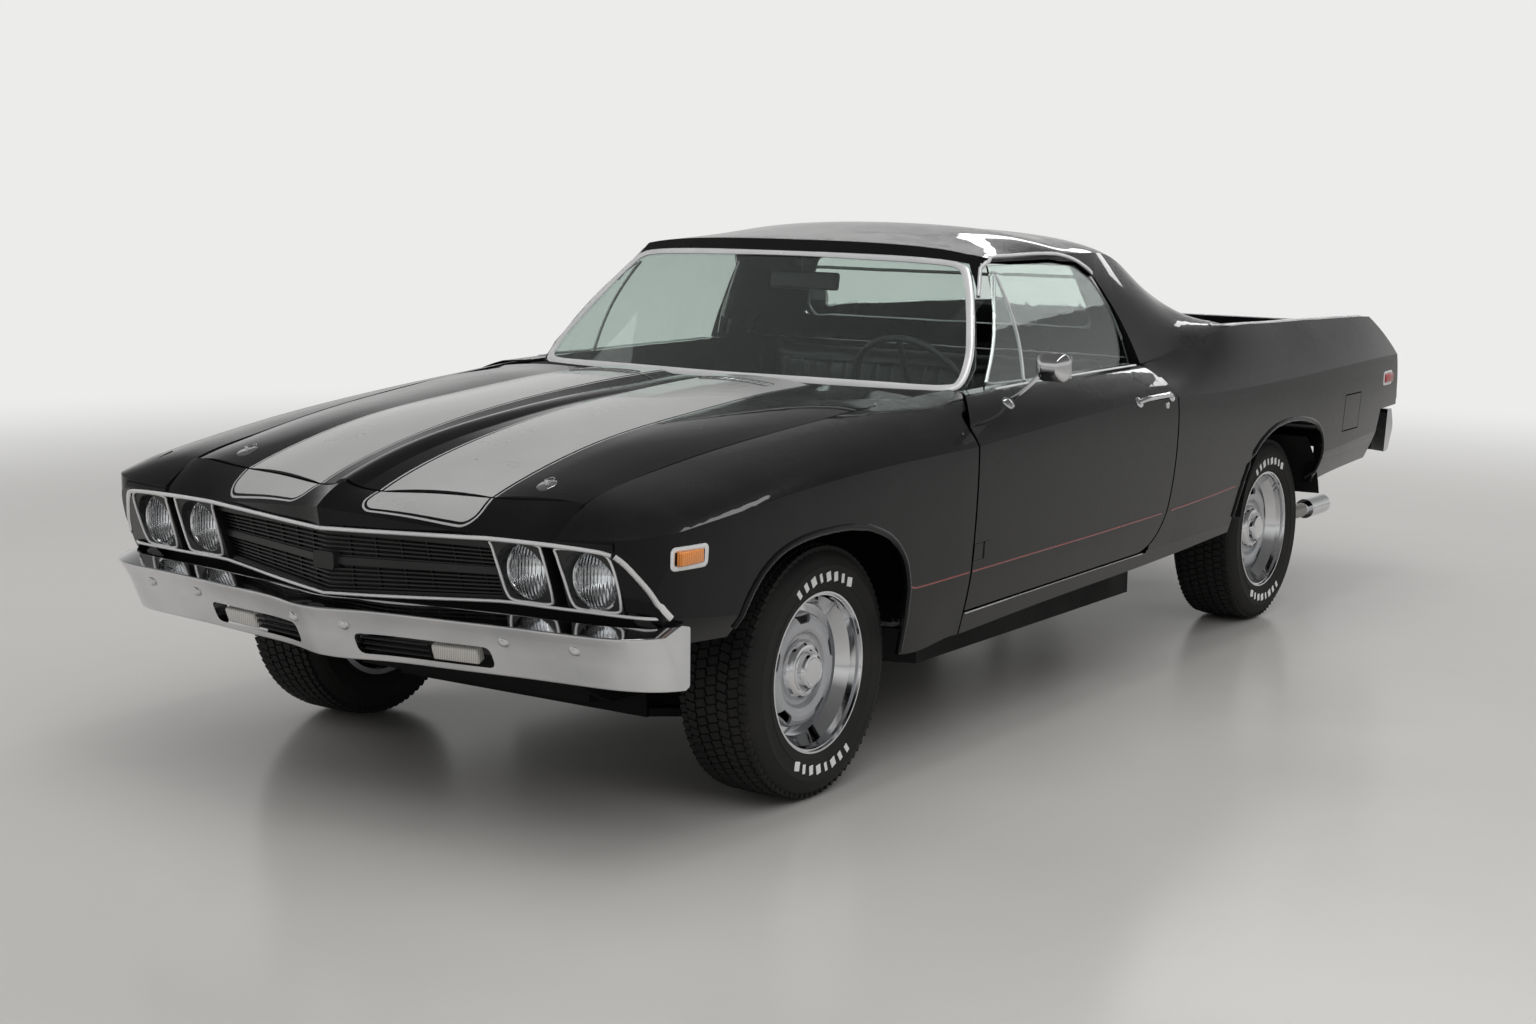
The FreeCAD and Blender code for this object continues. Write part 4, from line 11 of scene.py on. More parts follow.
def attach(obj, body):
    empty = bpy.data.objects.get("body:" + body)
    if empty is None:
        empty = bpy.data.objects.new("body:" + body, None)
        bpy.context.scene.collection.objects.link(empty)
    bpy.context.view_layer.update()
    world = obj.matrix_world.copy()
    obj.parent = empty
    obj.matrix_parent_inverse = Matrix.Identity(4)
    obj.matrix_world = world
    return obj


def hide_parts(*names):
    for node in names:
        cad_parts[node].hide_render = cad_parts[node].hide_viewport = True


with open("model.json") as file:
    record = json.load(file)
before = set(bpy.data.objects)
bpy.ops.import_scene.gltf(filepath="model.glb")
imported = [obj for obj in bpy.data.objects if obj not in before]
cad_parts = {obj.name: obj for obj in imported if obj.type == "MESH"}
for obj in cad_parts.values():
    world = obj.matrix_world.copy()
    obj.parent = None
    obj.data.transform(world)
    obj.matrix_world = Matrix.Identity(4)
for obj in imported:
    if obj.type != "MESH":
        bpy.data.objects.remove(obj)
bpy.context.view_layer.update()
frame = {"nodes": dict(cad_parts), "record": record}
nodes = frame["nodes"]
scene = bpy.context.scene
print("frame loaded")


# materials: every finish is a small node tree on Object coordinates
def newMaterial(name):
    material = bpy.data.materials.new(name)
    material.use_nodes = True
    tree = material.node_tree
    return material, tree, tree.nodes["Principled BSDF"]


def feed(socket, value):
    # a socket takes another node's output, a colour or a plain number
    if hasattr(value, "node"):
        socket.id_data.links.new(value, socket)
    else:
        socket.default_value = (*value, 1.0) if socket.type == "RGBA" else value


def addNode(tree, kind, inputs, **settings):
    node = tree.nodes.new("ShaderNode" + kind)
    for name, value in settings.items():
        setattr(node, name, value)
    for key, value in inputs.items():
        feed(node.inputs[key], value)
    return node


def objectPoint(tree):
    return addNode(tree, "TexCoord", {}).outputs["Object"]


def noiseOf(point, scale, detail=3.0):
    return addNode(point.id_data, "TexNoise", {"Vector": point, "Scale": scale, "Detail": detail}).outputs["Fac"]


def spread(value, low, high, fromLow=0.3, fromHigh=0.7):
    # a value pattern stretched between two levels
    return addNode(value.id_data, "MapRange", {"Value": value, "From Min": fromLow, "From Max": fromHigh,
                                               "To Min": low, "To Max": high}).outputs["Result"]


def blendColours(value, first, second):
    # inputs 6 and 7 and output 2 are the Mix node's colours
    return addNode(value.id_data, "Mix", {"Factor": value, 6: first, 7: second}, data_type="RGBA").outputs[2]


def bumpOf(shader, height, strength, distance):
    bump = addNode(shader.id_data, "Bump", {"Strength": strength, "Distance": distance, "Height": height})
    feed(shader.inputs["Normal"], bump.outputs["Normal"])


def calc(operation, first, second=None):
    tree = (first if hasattr(first, "node") else second).id_data
    values = {0: first} if second is None else {0: first, 1: second}
    return addNode(tree, "Math", values, operation=operation).outputs[0]


def axesOf(point):
    return addNode(point.id_data, "SeparateXYZ", {0: point}).outputs


def lengthOf(first, second):
    return calc("SQRT", calc("ADD", calc("MULTIPLY", first, first), calc("MULTIPLY", second, second)))


# what a look has unless it says otherwise; broad is the scale of the drift over a panel, fine that of the grain
usualLook = {"broad": 6.0, "fine": 220.0, "bump": 0.1, "depth": 0.0004, "metal": 0.0, "coat": 0.0,
             "coatRough": 0.03, "coatIor": 1.5, "specular": 0.5}
plainSockets = {"Metallic": "metal", "Coat Weight": "coat", "Coat Roughness": "coatRough", "Coat IOR": "coatIor",
                "Specular IOR Level": "specular"}


def drifting(point, look):
    # the look's colour and roughness, each wandering between its two ends
    broad = noiseOf(point, look["broad"])
    return blendColours(spread(broad, 0.0, 1.0), look["dark"], look["light"]), spread(broad, *look["rough"])


def coloured(name, look):
    material, tree, shader = newMaterial(name)
    point = objectPoint(tree)
    colour, rough = drifting(point, look)
    feed(shader.inputs["Base Color"], colour)
    feed(shader.inputs["Roughness"], rough)
    return material, point, shader


def finish(name, look):
    # one general finish: two close colours and a roughness that wander, with a fine bump
    material, point, shader = coloured(name, look)
    bumpOf(shader, noiseOf(point, look["fine"], 2.0), look["bump"], look["depth"])
    for socket, key in plainSockets.items():
        shader.inputs[socket].default_value = look[key]
    return material


def glassFinish(name, look):
    material, point, shader = coloured(name, look)
    shader.inputs["Transmission Weight"].default_value = 1.0
    shader.inputs["IOR"].default_value = look["ior"]
    if "flutes" in look:
        x, y, z = axesOf(point)[:3]
        across, upward = (calc("SINE", calc("MULTIPLY", axis, turns)) for axis, turns in zip((x, z), look["flutes"]))
        waves = calc("ADD", across, calc("MULTIPLY", upward, look["weaker"]))
        bumpOf(shader, waves, look["bump"], look["depth"])
    return material


looks = {
    "bodyPaint": {"dark": (0.0035, 0.0035, 0.0040), "light": (0.0055, 0.0055, 0.0060), "rough": (0.20, 0.30),
                  "coat": 1.0, "coatRough": 0.015, "coatIor": 1.27, "bump": 0.03, "depth": 0.0001, "fine": 60.0,
                  "specular": 0.05},
    "bedPaint": {"dark": (0.010, 0.010, 0.011), "light": (0.020, 0.020, 0.021), "rough": (0.30, 0.50)},
    "chassisPaint": {"dark": (0.005, 0.005, 0.005), "light": (0.010, 0.010, 0.010), "rough": (0.55, 0.75),
                     "specular": 0.2},
    "bright": {"dark": (0.66, 0.67, 0.69), "light": (0.80, 0.80, 0.81), "rough": (0.04, 0.12), "metal": 1.0,
               "bump": 0.02, "depth": 0.0002},
    "brightTrim": {"dark": (0.72, 0.72, 0.73), "light": (0.84, 0.84, 0.84), "rough": (0.20, 0.28), "metal": 0.6,
                   "bump": 0.02, "depth": 0.0002},
    "grilleBlack": {"dark": (0.008, 0.008, 0.008), "light": (0.016, 0.016, 0.016), "rough": (0.30, 0.45)},
    "rubber": {"dark": (0.010, 0.010, 0.010), "light": (0.022, 0.021, 0.020), "rough": (0.62, 0.85),
               "bump": 0.3, "fine": 600.0, "specular": 0.3},
    "rimSilver": {"dark": (0.42, 0.43, 0.45), "light": (0.52, 0.53, 0.55), "rough": (0.28, 0.38), "metal": 0.7},
    "trimBlack": {"dark": (0.010, 0.010, 0.010), "light": (0.022, 0.022, 0.022), "rough": (0.45, 0.60),
                  "bump": 0.4, "fine": 900.0},
    "seatVinyl": {"dark": (0.010, 0.010, 0.011), "light": (0.020, 0.020, 0.021), "rough": (0.35, 0.50),
                  "bump": 0.5, "fine": 700.0},
    "castMetal": {"dark": (0.05, 0.05, 0.05), "light": (0.10, 0.095, 0.09), "rough": (0.5, 0.7), "metal": 0.6,
                  "bump": 0.6, "fine": 300.0},
    "exhaustMetal": {"dark": (0.22, 0.21, 0.20), "light": (0.40, 0.38, 0.36), "rough": (0.25, 0.45), "metal": 1.0},
    "tailRed": {"dark": (0.30, 0.004, 0.006), "light": (0.42, 0.008, 0.010), "rough": (0.08, 0.15), "coat": 1.0},
    "stripeSilver": {"dark": (0.46, 0.46, 0.455), "light": (0.50, 0.50, 0.495), "rough": (0.26, 0.34), "metal": 0.5},
    "lowerBlack": {"dark": (0.002, 0.002, 0.002), "light": (0.004, 0.004, 0.004), "rough": (0.30, 0.40)},
    "redPaint": {"dark": (0.16, 0.010, 0.010), "light": (0.22, 0.016, 0.014), "rough": (0.20, 0.30), "coat": 0.6},
    "plateWhite": {"dark": (0.55, 0.55, 0.54), "light": (0.62, 0.62, 0.61), "rough": (0.35, 0.45)},
    "markWhite": {"dark": (0.62, 0.62, 0.60), "light": (0.74, 0.74, 0.72), "rough": (0.60, 0.75), "bump": 0.2,
                  "fine": 500.0},
}
looks = {name: usualLook | look for name, look in looks.items()}
finishes = {name: finish(name, look) for name, look in looks.items()}
finishes["windowGlass"] = glassFinish("windowGlass", {
    "dark": (0.69, 0.76, 0.73), "light": (0.72, 0.79, 0.76), "rough": (0.0, 0.004), "broad": 3.0, "ior": 1.45})
finishes["lampGlass"] = glassFinish("lampGlass", {
    "dark": (0.90, 0.92, 0.93), "light": (0.96, 0.97, 0.98), "rough": (0.01, 0.04), "broad": 3.0, "ior": 1.45,
    "flutes": (620.0, 248.0), "weaker": 0.5, "bump": 0.55, "depth": 0.0012})


# finishes that change by place on the car: stripes, side paint, wheels, lamps, exhaust
def maskBetween(low, value, high):
    return calc("MULTIPLY", calc("GREATER_THAN", value, low), calc("LESS_THAN", value, high))


def layered(name, base, over, maskOf):
    # the base look with a second look laid over it where the mask is one
    material = finish(name, looks[base])
    shader = material.node_tree.nodes["Principled BSDF"]
    point = objectPoint(material.node_tree)
    mask = maskOf(point)
    colour, rough = drifting(point, looks[over])
    underColour, underRough = (shader.inputs[key].links[0].from_socket for key in ("Base Color", "Roughness"))
    feed(shader.inputs["Base Color"], blendColours(mask, underColour, colour))
    change = calc("MULTIPLY", calc("SUBTRACT", rough, underRough), mask)
    feed(shader.inputs["Roughness"], calc("ADD", underRough, change))
    underMetal, metal = looks[base]["metal"], looks[over]["metal"]
    if underMetal != metal:
        feed(shader.inputs["Metallic"], calc("ADD", underMetal, calc("MULTIPLY", mask, metal - underMetal)))
    return material


stripe = {"inner": 0.105, "outer": 0.402, "front": -2.539, "rear": -0.60, "slant": 0.184, "corner": 0.030,
          "gap": 0.006, "line": 0.0045, "upward": 0.1}


def stripeMask(point):
    # distance to a slanted rounded rectangle each side: a broad field, a thin gap and a thin line
    x, y = axesOf(point)[:2]
    x = calc("ABSOLUTE", x)
    y = calc("SUBTRACT", y, calc("MULTIPLY", calc("SUBTRACT", x, stripe["inner"]), stripe["slant"]))
    reach = []
    for value, low, high in ((x, stripe["inner"], stripe["outer"]), (y, stripe["front"], stripe["rear"])):
        offset = calc("ABSOLUTE", calc("SUBTRACT", value, (low + high) / 2))
        reach.append(calc("SUBTRACT", offset, (high - low) / 2 - stripe["corner"]))
    outside = lengthOf(*(calc("MAXIMUM", value, 0.0) for value in reach))
    inside = calc("MINIMUM", calc("MAXIMUM", *reach), 0.0)
    away = calc("SUBTRACT", calc("ADD", outside, inside), stripe["corner"])
    line = maskBetween(stripe["gap"], away, stripe["gap"] + stripe["line"])
    outward = addNode(point.id_data, "TexCoord", {}).outputs["Normal"]
    onTop = calc("GREATER_THAN", axesOf(outward)[2], stripe["upward"])  # the hood's underside stays black
    return calc("MULTIPLY", calc("ADD", calc("LESS_THAN", away, 0.0), line), onTop)


lowerPaint = {"height": 0.527, "slope": 0.0165}


def lowerMask(point):
    y, z = axesOf(point)[1:3]
    edge = calc("ADD", calc("MULTIPLY", y, lowerPaint["slope"]), lowerPaint["height"])
    return calc("LESS_THAN", z, edge)


wheels = {"front": -1.685, "rear": 1.261, "height": 0.327, "middle": 0.750, "disc": 0.150, "cap": 0.081}


def discMask(end):
    def mask(point):
        y, z = axesOf(point)[1:3]
        radius = lengthOf(calc("SUBTRACT", y, wheels[end]), calc("SUBTRACT", z, wheels["height"]))
        return maskBetween(wheels["cap"], radius, wheels["disc"])
    return mask


exhaustTips = {"from": 2.30}


def tipMask(point):
    return calc("GREATER_THAN", axesOf(point)[1], exhaustTips["from"])


finishes["stripedPaint"] = layered("stripedPaint", "bodyPaint", "stripeSilver", stripeMask)
finishes["sidePaint"] = layered("sidePaint", "bodyPaint", "lowerBlack", lowerMask)
finishes["frontWheel"] = layered("frontWheel", "bright", "rimSilver", discMask("front"))
finishes["rearWheel"] = layered("rearWheel", "bright", "rimSilver", discMask("rear"))
finishes["exhaustTips"] = layered("exhaustTips", "exhaustMetal", "bright", tipMask)

marker = {"clear": (0.62, 0.60, 0.56), "amber": (0.80, 0.25, 0.02), "red": (0.45, 0.01, 0.01), "split": 0.6,
          "groove": (0.02, 0.02, 0.02), "ribs": 900.0, "shade": 0.35, "rough": (0.08, 0.16),
          "broad": 40.0, "bump": 0.5, "depth": 0.001}


def markerFinish(name):
    # clear, amber and red lenses share one node, so the colour goes by place
    material, tree, shader = newMaterial(name)
    point = objectPoint(tree)
    x, y = axesOf(point)[:2]
    side = calc("GREATER_THAN", calc("ABSOLUTE", x), marker["split"])
    rear = calc("GREATER_THAN", y, 0.0)
    colour = blendColours(side, marker["clear"], blendColours(rear, marker["amber"], marker["red"]))
    # painted shade: the lens colour darkens towards the dark groove colour in step with the ribs
    ribs = calc("SINE", calc("MULTIPLY", calc("ADD", x, y), marker["ribs"]))
    shade = spread(ribs, 0.0, marker["shade"], -1.0, 1.0)
    feed(shader.inputs["Base Color"], blendColours(shade, colour, marker["groove"]))
    feed(shader.inputs["Roughness"], spread(noiseOf(point, marker["broad"]), *marker["rough"]))
    bumpOf(shader, ribs, marker["bump"], marker["depth"])
    shader.inputs["Coat Weight"].default_value = 1.0
    return material


finishes["markerLens"] = markerFinish("markerLens")
print("finishes made")

nodeFinish = {
    "body_paint": "bodyPaint", "bed_paint": "bedPaint", "chassis_paint": "chassisPaint", "bright": "bright",
    "grille_black": "grilleBlack", "lamp_glass": "lampGlass", "marker_lens": "markerLens", "tail_lens": "tailRed",
    "window_glass": "windowGlass", "tyre_rubber": "rubber", "rim_metal": "rimSilver", "trim_black": "trimBlack",
    "seat_vinyl": "seatVinyl", "cast_metal": "castMetal", "exhaust_metal": "exhaustMetal",
}
slotOfNode = {part["node"]: part["material_slot"] for part in frame["record"]["subparts"]}
specialFinish = {
    "hood": "stripedPaint", "header_panel": "stripedPaint", "fender_left": "sidePaint", "fender_right": "sidePaint",
    "door_left": "sidePaint", "door_right": "sidePaint", "quarter_left": "sidePaint", "quarter_right": "sidePaint",
    "rim_front_left": "frontWheel", "rim_front_right": "frontWheel", "rim_rear_left": "rearWheel",
    "rim_rear_right": "rearWheel", "exhaust": "exhaustTips",
}
for node, solid in nodes.items():
    for slot in solid.material_slots:
        slot.material = finishes[specialFinish.get(node, nodeFinish[slotOfNode[node]])]
print("frame dressed")


# places for trim: points are laid on the frame's own surfaces
surfaces = {"hood": ["hood"], "fender": ["fender_left"], "door": ["door_left"], "quarter": ["quarter_left", "cab"],
            "cab": ["cab"], "windshield": ["windshield"], "rearWindow": ["rear_window"], "rocker": ["rockers"],
            "doorGlass": ["door_glass_left"], "bumper": ["front_bumper"], "tail": ["tail_lamps"],
            "tailgate": ["tailgate"], "arches": ["fender_left", "quarter_left"], "dash": ["dashboard"]}
rayStart = 1.5  # how far out the rays at the body side start


def treeOf(names):
    shell = bmesh.new()
    for name in names:
        shell.from_mesh(nodes[name].data)
    tree = BVHTree.FromBMesh(shell)
    shell.free()
    return tree


trees = {surface: treeOf(names) for surface, names in surfaces.items()}


def smoothPath(points, parts=5, closed=False):
    # a soft line through the points
    points = [Vector(point) for point in points]
    last = len(points)
    path = []
    for index in range(last if closed else last - 1):
        before = points[index - 1] if closed or index else points[0]
        start, end = points[index], points[(index + 1) % last]
        after = points[(index + 2) % last] if closed or index + 2 < last else end
        path += interpolate_bezier(start, start + (end - before) / 6, end - (after - start) / 6, end, parts + 1)[:-1]
    return path if closed else path + [points[-1]]


def laidOn(surface, path):
    # each point goes to the nearest place on the surface and takes its normal
    return [trees[surface].find_nearest(point)[:2] for point in path]


def besideAt(surface, y, z):
    # the place and normal that a level ray from the left meets
    return trees[surface].ray_cast(Vector((rayStart, y, z)), Vector((-1.0, 0.0, 0.0)))[:2]


def facing(path, normal):
    return [(Vector(point), Vector(normal)) for point in path]


def roundedFrame(halfWide, halfHigh, corner, longest, parts=5):
    # a rounded rectangle's outline as (across, up), with extra points on its straight runs
    corners = []
    for turn, (signX, signZ) in enumerate(((1, 1), (-1, 1), (-1, -1), (1, -1))):
        for step in range(parts + 1):
            angle = math.radians(90 * turn + 90 * step / parts)
            corners.append(Vector((signX * (halfWide - corner) + corner * math.cos(angle),
                                   signZ * (halfHigh - corner) + corner * math.sin(angle))))
    path = []
    for start, end in zip(corners, corners[1:] + corners[:1]):
        count = max(1, math.ceil((end - start).length / longest))
        path += [start.lerp(end, step / count) for step in range(count)]
    return path


# shapes: strips swept along a path, profiles turned about an axis and rounded blocks
def edgesOf(verts):
    return list({edge for vert in verts for edge in vert.link_edges})


def joinedRings(mesh, places, sides, closed=False):
    # circles bridged one to the next, and capped where the run is open
    rings = [edgesOf(bmesh.ops.create_circle(mesh, segments=sides, radius=1.0, matrix=place)["verts"])
             for place in places]
    for first, second in zip(rings, rings[1:] + rings[:1] if closed else rings[1:]):
        bmesh.ops.bridge_loops(mesh, edges=first + second)
    if not closed:
        for edges in (rings[0], rings[-1]):
            bmesh.ops.contextual_create(mesh, geom=edges)


def sweep(mesh, spots, width, height, sides=10, closed=False):
    places = []
    for index, (place, normal) in enumerate(spots):
        ahead = spots[(index + 1) % len(spots)][0] if closed or index + 1 < len(spots) else place
        before = spots[index - 1][0] if closed or index else place
        along = (ahead - before).normalized()
        across = along.cross(normal).normalized()
        rise = across.cross(along)
        axes = Matrix((across * width * 0.5, rise * height * 0.5, along)).transposed().to_4x4()
        places.append(Matrix.Translation(place) @ axes)
    joinedRings(mesh, places, sides, closed)


def spun(mesh, profile, centre, axis, steps=48, loop=False):
    # a profile of (distance from the axis, place along it)
    axis = Vector(axis).normalized()
    out = axis.orthogonal().normalized()
    verts = [mesh.verts.new(Vector(centre) + out * reach + axis * along) for reach, along in profile]
    ends = verts[1:] + verts[:1] if loop else verts[1:]
    edges = [mesh.edges.new(pair) for pair in zip(verts, ends)]
    turned = bmesh.ops.spin(mesh, geom=verts + edges, cent=centre, axis=axis, angle=math.tau, steps=steps,
                            use_merge=True)
    last = {part for part in turned["geom_last"] if isinstance(part, bmesh.types.BMVert)}
    bmesh.ops.remove_doubles(mesh, verts=list(last.union(verts)), dist=1e-6)


def block(mesh, size, matrix, bevel=0.0, segments=2):
    # a rounded block of the given size
    scale = Matrix.Diagonal((*size, 1.0))
    verts = bmesh.ops.create_cube(mesh, size=1.0, matrix=matrix @ scale)["verts"]
    if bevel:
        bmesh.ops.bevel(mesh, geom=edgesOf(verts), offset=bevel, segments=segments, profile=0.5,
                        affect="EDGES", material=-1)


def leaning(middle, degrees, axis="X"):
    return Matrix.Translation(middle) @ Matrix.Rotation(math.radians(degrees), 4, axis)


def bothSides(mesh):
    bmesh.ops.mirror(mesh, geom=mesh.verts[:] + mesh.edges[:] + mesh.faces[:], matrix=Matrix.Identity(4),
                     merge_dist=0.00001, axis="X")


def addPiece(name, mesh, body, material, sharp=0.7):
    bmesh.ops.remove_doubles(mesh, verts=mesh.verts, dist=0.000002)
    bmesh.ops.recalc_face_normals(mesh, faces=mesh.faces)
    for face in mesh.faces:
        face.smooth = True
    data = bpy.data.meshes.new(name)
    mesh.to_mesh(data)
    mesh.free()
    data.set_sharp_from_angle(angle=sharp)
    data.materials.append(finishes[material])
    piece = bpy.data.objects.new(name, data)
    scene.collection.objects.link(piece)
    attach(piece, body)
    return piece


def addSided(name, side, mesh, body, material):
    # such pieces are shaped on the left and turned over for the right
    if side == "Right":
        bmesh.ops.scale(mesh, vec=(-1.0, 1.0, 1.0), verts=mesh.verts)
    return addPiece(name + side, mesh, body, material)


# bright mouldings on the fixed body
mouldings = {
    "windshieldTrim": {"width": 0.026, "height": 0.010, "closed": True, "bow": 0.255, "points": [
        (0.0, -0.917, 0.977), (0.30, -0.900, 0.977), (0.577, -0.860, 0.975), (0.712, -0.828, 0.976),
        (0.747, -0.800, 0.994), (0.738, -0.737, 1.055), (0.712, -0.685, 1.115), (0.681, -0.633, 1.175),
        (0.648, -0.583, 1.233), (0.612, -0.541, 1.283), (0.583, -0.524, 1.304), (0.530, -0.526, 1.3155),
        (0.40, -0.5425, 1.323), (0.20, -0.5585, 1.3265)]},
    "dripRail": {"on": "cab", "width": 0.013, "height": 0.012, "points": [
        (0.775, -0.760, 0.974), (0.738, -0.680, 1.060), (0.700, -0.600, 1.150), (0.664, -0.520, 1.240),
        (0.636, -0.452, 1.318), (0.622, -0.400, 1.334), (0.621, -0.300, 1.336), (0.623, -0.165, 1.336),
        (0.634, -0.037, 1.334), (0.642, 0.034, 1.326), (0.652, 0.100, 1.305), (0.672, 0.150, 1.268),
        (0.702, 0.172, 1.215), (0.738, 0.185, 1.150), (0.772, 0.205, 1.070), (0.812, 0.236, 0.992)]},
    "bedRailTrim": {"on": "quarter", "width": 0.016, "height": 0.008, "points": [
        (0.811, 0.800, 1.075), (0.810, 0.950, 1.072), (0.807, 1.293, 1.068), (0.806, 1.620, 1.062),
        (0.806, 1.950, 1.057), (0.806, 2.285, 1.045)]},
    "grilleTopTrim": {"width": 0.011, "height": 0.008, "normal": (0.0, -0.95, -0.3), "points": [
        (0.0, -2.573, 0.7225), (0.12, -2.554, 0.7250), (0.25, -2.532, 0.7285), (0.40, -2.506, 0.7320),
        (0.47, -2.497, 0.7345), (0.60, -2.489, 0.7355), (0.70, -2.483, 0.7345), (0.77, -2.476, 0.7315),
        (0.800, -2.468, 0.7260)]},
    "grilleLowTrim": {"width": 0.008, "height": 0.006, "normal": (0.1, -0.99, 0.0), "points": [
        (0.0, -2.564, 0.5640), (0.12, -2.535, 0.5670), (0.25, -2.502, 0.5715), (0.40, -2.461, 0.5770),
        (0.48, -2.443, 0.5795), (0.60, -2.437, 0.5800), (0.70, -2.428, 0.5800), (0.79, -2.417, 0.5790),
        (0.850, -2.402, 0.5785), (0.884, -2.372, 0.5775)]},
    "fenderTipTrim": {"on": "fender", "width": 0.016, "height": 0.006, "points": [
        (0.806, -2.463, 0.724), (0.826, -2.451, 0.706), (0.847, -2.434, 0.677), (0.868, -2.414, 0.644),
        (0.882, -2.392, 0.608), (0.891, -2.362, 0.577)]},
    "rockerLine": {"on": "rocker", "width": 0.006, "height": 0.004, "points": [
        (0.917, -1.050, 0.386), (0.914, -0.500, 0.392), (0.914, 0.100, 0.405)]},
}
glassTrim = {"lean": 0.70, "start": 0.05, "reach": 0.08, "proud": 0.002}


def onGlass(path, bow):
    # the windshield leans back evenly and bows round towards its sides
    spots = []
    for point in path:
        normal = Vector((bow * point.x, -glassTrim["lean"], glassTrim["lean"])).normalized()
        start = point + normal * glassTrim["start"]
        place = trees["windshield"].ray_cast(start, -normal, glassTrim["reach"])[0]
        spots.append(((place or point) + normal * glassTrim["proud"], normal))
    return spots


def moulding(name, strip):
    points, closed = strip["points"], strip.get("closed", False)
    if closed:
        points = points + [(-x, y, z) for x, y, z in points[:0:-1]]
    path = smoothPath(points, closed=closed)
    if "bow" in strip:
        spots = onGlass(path, strip["bow"])
    else:
        spots = laidOn(strip["on"], path) if "on" in strip else facing(path, strip["normal"])
    mesh = bmesh.new()
    sweep(mesh, spots, strip["width"], strip["height"], closed=closed)
    if not closed:
        bothSides(mesh)
    addPiece(name, mesh, "root", "brightTrim")


for name, strip in mouldings.items():
    moulding(name, strip)
print("mouldings laid")

# window trim: vent bar and frame and belt strip on each door, and the rear window's frame
doors = {"Left": "driver_door", "Right": "passenger_door"}
doorTrim = {
    "ventBar": {"on": "doorGlass", "width": 0.014, "height": 0.014,
                "points": [(0.800, -0.520, 0.984), (0.728, -0.487, 1.130), (0.650, -0.448, 1.276)]},
    "ventFrame": {"on": "doorGlass", "width": 0.009, "height": 0.010, "points": [
        (0.800, -0.535, 0.984), (0.792, -0.640, 0.984), (0.783, -0.728, 0.986), (0.770, -0.728, 1.000),
        (0.735, -0.650, 1.080), (0.695, -0.560, 1.180), (0.655, -0.466, 1.270)]},
    "beltStrip": {"on": "door", "width": 0.010, "height": 0.006, "points": [
        (0.838, -0.760, 0.984), (0.838, -0.300, 0.985), (0.837, 0.165, 0.987)]},
}
for side, body in doors.items():
    for name, strip in doorTrim.items():
        mesh = bmesh.new()
        sweep(mesh, laidOn(strip["on"], smoothPath(strip["points"], parts=8)), strip["width"], strip["height"])
        addSided(name, side, mesh, body, "brightTrim")

rearWindowTrim = {"half": (0.556, 0.092), "middle": (0.50, 1.175), "corner": 0.05, "step": 0.08,
                  "width": 0.012, "height": 0.008}


def rearWindowFrame(trim):
    y, z = trim["middle"]
    path = [(x, y, z + up) for x, up in roundedFrame(*trim["half"], trim["corner"], trim["step"])]
    mesh = bmesh.new()
    sweep(mesh, laidOn("rearWindow", path), trim["width"], trim["height"], closed=True)
    addPiece("rearWindowTrim", mesh, "root", "brightTrim")


rearWindowFrame(rearWindowTrim)
print("window trim laid")

# thin red line along the lower crease, as (y, z) on each panel
redLine = {"width": 0.0045, "height": 0.0016, "runs": {
    "Fender": [(-1.424, 0.600), (-1.412, 0.560), (-1.396, 0.526), (-1.372, 0.509), (-1.330, 0.505),
               (-1.200, 0.506), (-1.072, 0.507)],
    "Door": [(-1.056, 0.507), (-0.700, 0.510), (-0.300, 0.513), (0.175, 0.520)],
    "Quarter": [(0.192, 0.520), (0.500, 0.530), (0.765, 0.543)]}}
for name, points in redLine["runs"].items():
    for side, door in doors.items():
        path = smoothPath([(0.0, y, z) for y, z in points], parts=8)
        spots = [besideAt(name.lower(), y, z) for x, y, z in path]
        mesh = bmesh.new()
        sweep(mesh, [spot for spot in spots if spot[0]], redLine["width"], redLine["height"], sides=8)
        addSided("redLine" + name, side, mesh, door if name == "Door" else "root", "redPaint")

# rolled lips round the four wheel arches; reaches are in millimetres
archLip = {"width": 0.018, "height": 0.014, "centres": {"Front": -1.720, "Rear": 1.240}, "middle": 0.46,
           "steps": 54, "from": -20, "to": 200, "reaches": (180, 460, 2), "skin": 0.88}


def archSpots(middleY):
    # along each spoke, the lip lies where the body side starts
    spots = []
    for step in range(archLip["steps"] + 1):
        angle = math.radians(archLip["from"] + (archLip["to"] - archLip["from"]) * step / archLip["steps"])
        for reach in range(*archLip["reaches"]):
            y = middleY + reach / 1000 * math.cos(angle)
            z = archLip["middle"] + reach / 1000 * math.sin(angle)
            place, normal = besideAt("arches", y, z)
            if place and place.x > archLip["skin"]:
                spots.append((place, normal))
                break
    return spots


for name, middleY in archLip["centres"].items():
    mesh = bmesh.new()
    sweep(mesh, archSpots(middleY), archLip["width"], archLip["height"])
    bothSides(mesh)
    addPiece("archLip" + name, mesh, "root", "bodyPaint")
print("side lines and arch lips laid")

